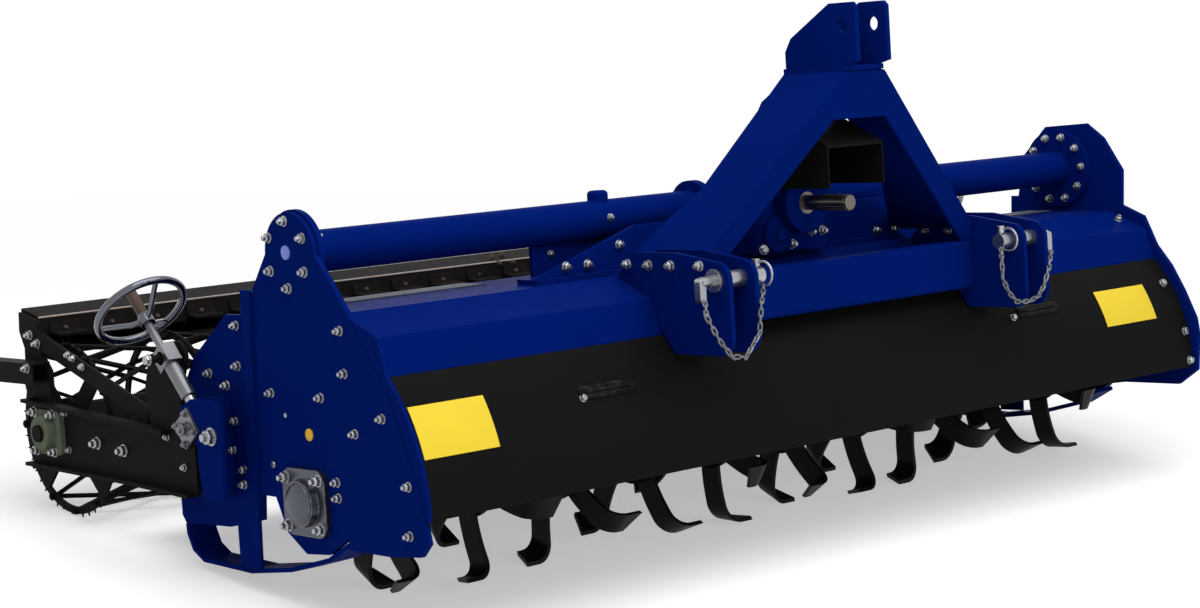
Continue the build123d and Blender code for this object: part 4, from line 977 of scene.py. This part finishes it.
# ------------------------------------------------------------------ drive
@dataclass(frozen=True)
class Drive:
    """Fittings of the gearbox and its input shaft. Sizes in millimetres."""

    boss: Triple = (-52.0, GEARBOX_FRONT, 694.0)
    shaft: Triple = (14.0, -376.0, 762.0)
    shaft_r: float = 17.5
    splines: int = 12
    spline_size: Triple = (4.0, 92.0, 2.6)
    spline_sunk: float = 0.8
    spline_start: float = 6.0
    spline_step: float = 0.6
    boss_drums: tuple = (("boss_shape", 44.0, 12.0, 0.9, 32), ("boss_hub", 18.0, 18.0, 0.8, 24))
    bolts: tuple = (
        (PLATE_BOLT, GEARBOX_FRONT, ((-92.0, 661.0), (-5.0, 667.0), (99.7, 690.0))),
        (MIDDLE_BOLT, GEARBOX_FRONT, ((62.0, 690.0),)),
        (MIDDLE_BOLT, GUSSET_FRONT, ((170.0, 690.0),)),
        (PLATE_BOLT, GUSSET_FRONT, ((-468.0, 706.0), (-565.0, 671.0), (-629.0, 672.0))),
        (SMALL_BOLT, 3.0, ((-572.0, 694.0),)),
        (SMALL_BOLT, -36.0, ((-421.0, 764.0),)),
    )

    def make(self) -> None:
        """Fit the boss, the bolts and the splines."""
        seat = Skin("gearbox").seat(self.boss, FORWARDS)
        boss = Piece("gearbox_boss", "frame", Finishes.BLUE)
        for size in self.boss_drums:
            boss.stamp(drum_shape(*size), seat)
        boss.done()
        bolts = Fixings("bolts_gearbox", "frame", ("gearbox", "gussets", "tube_left"))
        for bolt, front, spots in self.bolts:
            bolts.add(FORWARDS, [(across, front, up) for across, up in spots], bolt)
        bolts.make()
        self.spline_piece()

    def spline_piece(self) -> None:
        """Lay the splines round the shaft's front end."""
        across, rear, up = self.shaft
        middle = rear + self.spline_size[1] / 2 + self.spline_start
        reach = self.shaft_r - self.spline_sunk
        along = STANCE.way(0, 1, 0)
        piece = Piece("shaft_splines", "input_shaft", Finishes.BARE)
        bar = block_shape("spline_bar", self.spline_size, self.spline_step)
        for step in range(self.splines):
            angle = math.tau * step / self.splines
            aside, over = math.cos(angle), math.sin(angle)
            outward = STANCE.way(aside, 0.0, over)
            spot = STANCE.point(across + aside * reach, middle, up + over * reach)
            piece.stamp(bar, squared(spot, along.cross(outward), along, outward))
        piece.done()


# ------------------------------------------------------------------ front shield
@dataclass(frozen=True)
class Shield:
    """Blank yellow plates, latches and bolts on the curved front shield.

    Angles are about the rotor's axis, in degrees above rearwards, and sizes are in millimetres.
    """

    plates: tuple = (
        ("plate_left", -1262.0, -1069.0, 147.6, 163.6),
        ("plate_right", 938.0, 1143.0, 147.2, 161.0),
    )
    plate_t: float = 1.2
    plate_out: float = 1.0
    latches: tuple = (("latch_left", -745.0, 152.2, -818.0), ("latch_right", 700.0, 150.0, 600.0))
    latch_size: Triple = (156.0, 30.0, 9.0)
    latch_rib: Triple = (138.0, 12.0, 13.0)
    latch_step: float = 4.0
    latch_sunk: float = 2.0
    latch_bolt_angle: float = 1.6
    latch_bolt: HexBolt = HexBolt(13.0, 8.0, stub=0)
    end_bolt: HexBolt = HexBolt(17.0, 8.0, stub=0)
    end_bolts: tuple = ((1229.0, 148.1), (1246.0, 167.6), (1250.0, 178.5))

    def spot(self, across: float, angle: float, out: float = 0.0) -> Triple:
        """Return a machine point over the shield at an angle."""
        return wheel_spots((across, 0.0, ROTOR_UP), SHIELD_R + out, (math.radians(angle),))[0]

    def make(self) -> None:
        """Fit the plates, the latches and the bolts."""
        for name, low, high, first, last in self.plates:
            self.plate(name, low, high, first, last)
        bolts = Fixings("bolts_shield", "frame", ("front_shield",))
        for name, across, angle, bolt_x in self.latches:
            self.latch(name, across, angle)
            turn = angle + self.latch_bolt_angle
            bolts.add(slope(math.radians(turn)), (self.spot(bolt_x, turn),), self.latch_bolt)
        for across, angle in self.end_bolts:
            bolts.add(slope(math.radians(angle)), (self.spot(across, angle),), self.end_bolt)
        bolts.make()

    def plate(self, name: str, low: float, high: float, first: float, last: float) -> None:
        """Lay a blank plate round the shield.

        Args:
            name: the piece's name.
            low: its left edge, across the machine.
            high: its right edge.
            first: the angle of its upper edge.
            last: the angle of its lower edge.
        """
        piece = Piece(name, "frame", Finishes.YELLOW)
        bmesh.ops.create_grid(piece.mesh, x_segments=4, y_segments=10, size=0.5)
        for vert in piece.mesh.verts:
            across = low + (vert.co.x + 0.5) * (high - low)
            angle = first + (vert.co.y + 0.5) * (last - first)
            vert.co = STANCE.point(*self.spot(across, angle, self.plate_out))
        bmesh.ops.recalc_face_normals(piece.mesh, faces=piece.mesh.faces)
        bmesh.ops.solidify(piece.mesh, geom=piece.mesh.faces, thickness=self.plate_t * MM)
        piece.done()

    def latch(self, name: str, across: float, angle: float) -> None:
        """Lay a long latch plate and its rib on the shield.

        Args:
            name: the piece's name.
            across: its middle, across the machine.
            angle: its angle on the shield.
        """
        outward = STANCE.way(*slope(math.radians(angle)))
        side = STANCE.way(*RIGHT)
        spot = STANCE.point(*self.spot(across, angle, -self.latch_sunk))
        place = squared(spot, side, outward.cross(side), outward)
        piece = Piece(name, "frame", Finishes.LATCH)
        piece.stamp(block_shape("latch_shape", self.latch_size, self.latch_step), place)
        piece.stamp(block_shape("latch_rib", self.latch_rib, self.latch_step), place).done()


@dataclass(frozen=True)
class Closures:
    """End plates of the front beam and the shield, and seam strips of the hood. Sizes in millimetres."""

    beam: tuple = ((-170.0, 545.0), (-130.0, 600.0), (-130.0, 640.6), (-159.2, 640.6), (-271.8, 594.6))
    inner: tuple = ((-340.0, 228.0), (-322.0, 330.0), (-280.0, 410.0), (-225.0, 480.0))
    radius: float = 402.8
    arc: Pair = (136.9, 181.0)
    steps: int = 18
    across: float = 1265.0
    thick: float = 9.0
    seams: tuple = (("seam_left", -1262.0, -735.0), ("seam_right", 762.0, 1262.0))
    seam_at: Pair = (79.0, 639.6)
    seam_size: Pair = (80.0, 2.5)
    seam_step: float = 0.8

    def make(self) -> None:
        """Fit both end plates and both seam strips."""
        for side, sign in SIDES:
            self.end_plate(side, sign)
        ways = (STANCE.way(1, 0, 0), STANCE.way(0, 1, 0), STANCE.way(0, 0, 1))
        for name, low, high in self.seams:
            shape = block_shape(f"{name}_shape", (high - low, *self.seam_size), self.seam_step)
            place = squared(STANCE.point((low + high) / 2, *self.seam_at), *ways)
            Piece(name, "frame", Finishes.SEAM).stamp(shape, place).done()

    def end_plate(self, side: str, sign: int) -> None:
        """Build the plate of one end from its outline.

        Args:
            side: the side's name.
            sign: -1 on the left and 1 on the right.
        """
        low, high = self.arc
        turns = [math.radians(low + (high - low) * step / self.steps) for step in range(self.steps + 1)]
        at = sign * self.across
        rim = wheel_spots((at, 0.0, ROTOR_UP), self.radius, turns)
        outline = [*((at, *spot) for spot in self.beam), *rim, *((at, *spot) for spot in self.inner)]
        piece = Piece(f"end_plate_{side}", "frame", Finishes.BLUE)
        mesh = piece.mesh
        corners = [mesh.verts.new(STANCE.point(*spot)) for spot in outline]
        face = bmesh.ops.contextual_create(mesh, geom=corners)["faces"]
        grown = bmesh.ops.extrude_face_region(mesh, geom=face)
        moved = [item for item in grown["geom"] if isinstance(item, bmesh.types.BMVert)]
        bmesh.ops.translate(mesh, verts=moved, vec=STANCE.way(sign, 0, 0) * self.thick * MM)
        bmesh.ops.triangulate(mesh, faces=mesh.faces)
        piece.done()


# ------------------------------------------------------------------ adjusting screws
@dataclass(frozen=True)
class Adjusters:
    """Handwheels, rusty spindle ends and pivot plates of the two adjusting screws. Sizes in millimetres.

    Distances along a screw are from its foot pin.
    """

    across: float = 1324.0
    foot: Pair = (322.0, 414.0)
    tilt: float = math.radians(47.0)
    hub_at: float = 270.0
    hub_size: Pair = (17.0, 27.0)
    hub_below: float = 13.0
    wheel_r: float = 102.0
    wheel_steps: int = 56
    rim_r: float = 8.8
    dish: float = 27.0
    spokes: int = 3
    spoke_r: float = 6.0
    spoke_path: tuple = ((0.0, 12.0), (2.0, 34.0), (22.0, 84.0), (27.0, 100.0))
    spindle_at: float = 284.0
    spindle_size: Pair = (12.5, 79.0)
    trunnion: Triple = (1370.0, 431.1, 531.0)
    pivot: Triple = (1356.0, 316.0, 386.0)
    pivot_size: Pair = (46.0, 7.0)
    pivot_bolts: tuple = (
        (0, 0, HexBolt(24.0, 12.0)), (0, 34, SMALL_BOLT), (0, -34, SMALL_BOLT), (34, 0, SMALL_BOLT),
        (-34, 0, SMALL_BOLT),
    )

    def along(self, sign: int, distance: float, aside: float, over: float) -> Vector:
        """Find a point by its place along a screw.

        Args:
            sign: -1 on the left and 1 on the right.
            distance: how far along the screw.
            aside: how far to the right of it.
            over: how far over it.

        Returns:
            The point, in the row frame's metres.
        """
        cos, sin = math.cos(self.tilt), math.sin(self.tilt)
        rear = self.foot[0] + distance * cos - over * sin
        up = self.foot[1] + distance * sin + over * cos
        return STANCE.point(sign * self.across + aside, rear, up)

    def on_screw(self, sign: int, distance: float) -> Matrix:
        """Return the placing that faces up a screw, at a distance along it."""
        spot = wheel_spots((sign * self.across, *self.foot), distance, (self.tilt,))[0]
        return STANCE.place(spot, slope(self.tilt))

    def make(self) -> None:
        """Fit both screws."""
        for side, sign in SIDES:
            self.wheel(side, sign)
            cap = Piece(f"spindle_end_{side}", f"jack_screw_{side}", Finishes.RUST)
            shape = drum_shape("spindle_end", *self.spindle_size, 0.96, 20)
            cap.stamp(shape, self.on_screw(sign, self.spindle_at)).done()
            self.pivot_plate(side, sign)
            across, rear, up = self.trunnion
            nut = Fixings(f"nut_trunnion_{side}", "roller_frame", (f"roller_arm_{side}",))
            nut.add((sign, 0, 0), ((sign * across, rear, up),), HexBolt(19.0, 9.0, stub=0)).make()

    def wheel(self, side: str, sign: int) -> None:
        """Build a handwheel: a smooth rim, its dished spokes and a hub.

        Args:
            side: the side's name.
            sign: -1 on the left and 1 on the right.
        """
        # the rim's dark tone and brown patches are a painted reflection
        piece = Piece(f"wheel_{side}", f"jack_screw_{side}", Finishes.CHROME_PAINTED_REFLECTION)
        turns = [math.tau * step / self.wheel_steps for step in range(self.wheel_steps)]
        rim = [
            self.along(sign, self.hub_at + self.dish, self.wheel_r * math.cos(a), self.wheel_r * math.sin(a))
            for a in turns
        ]
        piece.stamp(wire_shape(f"rim_{side}", rim, self.rim_r, closed=True, sides=14))
        for step in range(self.spokes):
            angle = math.tau * step / self.spokes + math.pi / 2
            aside, over = math.cos(angle), math.sin(angle)
            line = [
                self.along(sign, self.hub_at + up, out * aside, out * over) for up, out in self.spoke_path
            ]
            piece.stamp(wire_shape(f"spoke_{side}_{step}", line, self.spoke_r, sides=10))
        hub = drum_shape("wheel_hub", *self.hub_size, 0.8, 28)
        piece.stamp(hub, self.on_screw(sign, self.hub_at - self.hub_below)).done(f"handwheel_{side}")

    def pivot_plate(self, side: str, sign: int) -> None:
        """Bolt a diamond plate over the pivot of a roller arm.

        Args:
            side: the side's name.
            sign: -1 on the left and 1 on the right.
        """
        across, rear, up = self.pivot
        radius, thick = self.pivot_size
        place = STANCE.place((sign * across, rear, up), (sign, 0, 0))
        piece = Piece(f"pivot_plate_{side}", "frame", Finishes.SATIN)
        piece.stamp(template("diamond", lambda mesh: drum(mesh, radius, radius, 0.0, thick, 4)), place)
        for aside, over, bolt in self.pivot_bolts:
            piece.stamp(bolt.shape(), place @ Matrix.Translation((aside * MM, over * MM, thick * MM)))
        piece.done()


# ------------------------------------------------------------------ roller frame
@dataclass(frozen=True)
class RollerTrim:
    """Bolts of the roller arms, their uprights and the scraper beam, and a painted highlight along the beam's
    edge. Sizes in millimetres.
    """

    side_bolts: tuple = (
        (HexBolt(22.0, 12.0, stub=8.0), ((794.0, 314.0), (680.0, 304.6))),
        (HexBolt(19.0, 10.0, stub=7.0), ((1051.0, 374.0), (967.0, 371.0), (968.0, 283.0), (1051.0, 283.0))),
        (PLATE_BOLT, ((1086.0, 553.0), (1053.6, 533.4), (1022.0, 482.0))),
        (SMALL_BOLT, (
            (493.0, 348.6), (935.0, 375.0), (926.0, 288.5), (431.0, 284.0), (916.0, 512.0), (895.0, 505.0),
            (855.0, 487.0),
        )),
    )
    beam_half: float = 1278.0
    # where the painted highlight line runs along the scraper beam's edge, and its radius
    beam_highlight: Pair = (1063.5, 593.5)
    beam_highlight_r: float = 2.6
    scrapers: int = 20
    scraper_screws: Pair = (1052.0, 564.0)
    beam_bolts: tuple = (
        ((0, -0.2, 1), ((137.0, 1084.0, 600.0), (186.0, 1100.0, 604.0))),
        (FORWARDS, ((139.0, 1062.0, 588.0), (189.0, 1062.0, 586.0))),
    )
    strips: tuple = (
        ("scraper_strip", (1059.0, 542.0), (1063.0, 590.0)),
        ("rear_strip", (1147.0, 491.0), (1141.0, 608.0)),
    )
    strip_short: float = 16.0
    strip_t: float = 3.0
    strip_step: float = 0.8
    strut: tuple = ((99.0, 1048.0, 582.0), (22.0, 1044.0, 530.0))
    strut_size: Pair = (16.0, 6.0)
    strut_step: float = 1.5

    def make(self) -> None:
        """Fit both sides and the beam between them."""
        for side, sign in SIDES:
            nodes = (f"roller_arm_{side}", f"roller_bearing_{side}", f"upright_{side}")
            bolts = Fixings(f"bolts_roller_{side}", "roller_frame", nodes)
            for bolt, spots in self.side_bolts:
                bolts.add((sign, 0, 0), flank(sign, spots), bolt)
            bolts.make()
        # the bright line on the beam's edge is a painted highlight
        self.edge()
        for name, low, high in self.strips:
            self.strip(name, low, high)
        screws = Fixings("screws_scrapers", "roller_frame", ("scraper_beam",), Finishes.RUST)
        pitch = 2 * self.beam_half / self.scrapers
        places = [(step + 0.5) * pitch - self.beam_half for step in range(self.scrapers)]
        screws.add(FORWARDS, [(across, *self.scraper_screws) for across in places], SCREW)
        for facing, spots in self.beam_bolts:
            screws.add(facing, spots, SMALL_BOLT)
        screws.make()
        self.brace()

    def edge(self) -> None:
        """Draw a painted highlight: a bright line along the top edge of the scraper beam's face, where light
        catches it.
        """
        line = [STANCE.point(sign * self.beam_half, *self.beam_highlight) for _, sign in SIDES]
        piece = Piece("beam_highlight", "roller_frame", Finishes.EDGE_HIGHLIGHT)
        piece.stamp(wire_shape("beam_highlight_shape", line, self.beam_highlight_r)).done()

    def strip(self, name: str, low: Pair, high: Pair) -> None:
        """Hang a thin flat strip across the roller frame.

        Args:
            name: the piece's name.
            low: its lower edge, rearwards and up, in millimetres.
            high: its upper edge.
        """
        start, end = STANCE.point(0.0, *low), STANCE.point(0.0, *high)
        up = (end - start).normalized()
        across = STANCE.way(*RIGHT)
        size = (2 * self.beam_half - self.strip_short, self.strip_t, (end - start).length / MM)
        shape = block_shape(f"{name}_shape", size, self.strip_step)
        place = squared(start, across, up.cross(across), up)
        Piece(name, "roller_frame", Finishes.DARK).stamp(shape, place).done()

    def brace(self) -> None:
        """Weld a slanting strut to the front of the scraper beam."""
        start, end = (STANCE.point(*spot) for spot in self.strut)
        way = (end - start).normalized()
        side = STANCE.way(*FORWARDS)
        shape = block_shape("strut_shape", (*self.strut_size, (end - start).length / MM), self.strut_step)
        place = squared(start, way.cross(side).normalized(), side, way)
        Piece("beam_strut", "roller_frame", Finishes.DARK).stamp(shape, place).done()


@dataclass(frozen=True)
class RollerTeeth:
    """Short teeth on the bars of the lattice roller. Sizes in millimetres."""

    axis: Pair = (1000.0, 328.0)
    radius: float = 205.0
    half: float = 1254.0
    rows: int = 60
    steps: int = 44
    near: float = 5.0
    tooth_r: Pair = (3.4, 1.7)
    tooth_z: Pair = (-4.0, 9.0)

    def make(self) -> None:
        """Stand a tooth wherever the grid of places meets a bar."""
        skin = Skin("roller_cage")
        tooth = template("tooth", lambda mesh: drum(mesh, *self.tooth_r, *self.tooth_z, 5))
        piece = Piece("roller_teeth", "roller", Finishes.DARK)
        for row in range(self.rows):
            across = self.half * (2 * row / (self.rows - 1) - 1)
            turns = [math.tau * (step + 0.5 * (row % 2)) / self.steps for step in range(self.steps)]
            for turn, spot in zip(turns, wheel_spots((across, *self.axis), self.radius, turns)):
                if skin.touches(spot, slope(turn), self.near):
                    piece.stamp(tooth, STANCE.place(spot, slope(turn)))
        piece.done()


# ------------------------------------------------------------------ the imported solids' finishes
class Bodywork:
    """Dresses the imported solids, which keep their own shapes."""

    BY_SLOT = {
        "blue_paint": Finishes.BLUE, "black_paint": Finishes.SHIELD, "dark_paint": Finishes.DARK,
        "worn_steel": Finishes.BLADE, "cast_iron": Finishes.CAST, "cast_green": Finishes.GREEN,
        "zinc_steel": Finishes.ZINC, "bare_steel": Finishes.BARE, "chrome": Finishes.CHROME_PAINTED_REFLECTION,
    }
    BY_NODE = {
        "hood": Finishes.DUSTY, "base_plate": Finishes.DUSTY,
        "jack_sleeve_left": Finishes.SATIN, "jack_sleeve_right": Finishes.SATIN,
    }

    def make(self) -> None:
        """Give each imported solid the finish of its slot, or one of its own."""
        for part in frame["record"]["subparts"]:
            finish = self.BY_NODE.get(part["node"], self.BY_SLOT[part["material_slot"]])
            node = frame["nodes"][part["node"]]
            node.data.materials.clear()
            node.data.materials.append(finish.material)


# ------------------------------------------------------------------ studio
@dataclass(frozen=True)
class Studio:
    """A plain pale floor, soft light and the camera. Metres and degrees."""

    floor_half: float = 80.0
    floor_grey: float = 0.82
    glow_from: Pair = (2.0, 9.0)
    glow: Pair = (0.44, 0.68)
    room_light: float = 0.42
    lamps: tuple = (
        ("overhead", (-0.6, -1.6, 4.5), (0, 0, 0.4), 5.0, 172.0),
        ("fill", (0.6, -6.6, 2.0), (0, 0, 0.5), 3.0, 52.0),
    )
    camera_at: Triple = (-4.3026, -4.6486, 1.6235)
    heading: float = 42.083
    pitch: float = -10.410
    roll: float = 1.199
    lens: float = 76.96
    far: float = 500.0

    def make(self) -> None:
        """Set the floor, the light and the camera."""
        self.floor()
        self.world()
        for lamp in self.lamps:
            self.lamp(*lamp)
        self.camera()
        bpy.context.scene.view_settings.view_transform = "Standard"

    def floor(self) -> None:
        """Lay a pale floor that runs past the horizon, and glows more the further it is from the middle."""
        def build(mesh: bmesh.types.BMesh) -> None:
            """Make one flat square."""
            bmesh.ops.create_grid(mesh, x_segments=1, y_segments=1, size=self.floor_half)

        data = template("floor", build)
        floor = linked("floor", data)
        material, graph, shader = new_material("floor_white")
        path = graph.add("LightPath").outputs
        seen = graph.math("MAXIMUM", path["Is Camera Ray"], path["Is Glossy Ray"])
        spot = graph.add("TexCoord").outputs["Object"]
        away = graph.add("VectorMath", {0: spot}, operation="LENGTH").outputs["Value"]
        glow = graph.span(away, *self.glow_from, *self.glow)
        graph.feed(shader, {
            "Base Color": white(self.floor_grey), "Roughness": 0.9, "Specular IOR Level": 0.0,
            "Emission Color": white(1.0), "Emission Strength": graph.math("MULTIPLY", seen, glow),
        })
        data.materials.append(material)

    def world(self) -> None:
        """Fill the room with even light, and show it white where it is seen or mirrored."""
        world = bpy.data.worlds.new("studio")
        bpy.context.scene.world = world
        world.use_nodes = True
        graph = Graph(world.node_tree)
        path = graph.add("LightPath").outputs
        seen = graph.math("MAXIMUM", path["Is Camera Ray"], path["Is Transmission Ray"])
        seen = graph.math("MAXIMUM", seen, path["Is Glossy Ray"])
        strength = graph.add("MapRange", {0: seen, 3: self.room_light, 4: 1.0}).outputs[0]
        graph.feed(world.node_tree.nodes["Background"], {"Color": white(1.0), "Strength": strength})

    @staticmethod
    def lamp(name: str, spot: Triple, target: Triple, size: float, watts: float) -> None:
        """Add a square area lamp.

        Args:
            name: the lamp's name.
            spot: where it hangs, in metres.
            target: the point that it looks at.
            size: the length of its side, in metres.
            watts: its power.
        """
        light = bpy.data.lights.new(name, "AREA")
        light.shape = "SQUARE"
        light.size = size
        light.energy = watts
        lamp = linked(name, light)
        lamp.location = spot
        lamp.rotation_euler = (Vector(target) - Vector(spot)).to_track_quat("-Z", "Y").to_euler()

    def camera(self) -> None:
        """Stand the camera at the near left corner, a little above the headstock."""
        data = bpy.data.cameras.new("camera")
        data.sensor_fit = "HORIZONTAL"
        data.sensor_width = 36.0
        data.lens = self.lens
        data.clip_end = self.far
        camera = linked("camera", data)
        turn = (
            Matrix.Rotation(math.radians(-self.heading), 4, "Z")
            @ Matrix.Rotation(math.radians(90 + self.pitch), 4, "X")
            @ Matrix.Rotation(math.radians(self.roll), 4, "Z")
        )
        camera.matrix_world = Matrix.Translation(self.camera_at) @ turn
        bpy.context.scene.camera = camera


def main() -> None:
    """Dress the machine, fit its small pieces, and set the studio."""
    logging.basicConfig(level=logging.INFO, format="%(name)s: %(message)s")
    for group in (
        Bodywork(), SidePlates(), Hitch(), Drive(), Shield(), Closures(), Adjusters(), RollerTrim(),
        RollerTeeth(), Studio(),
    ):
        group.make()


if __name__ == "__main__":
    main()
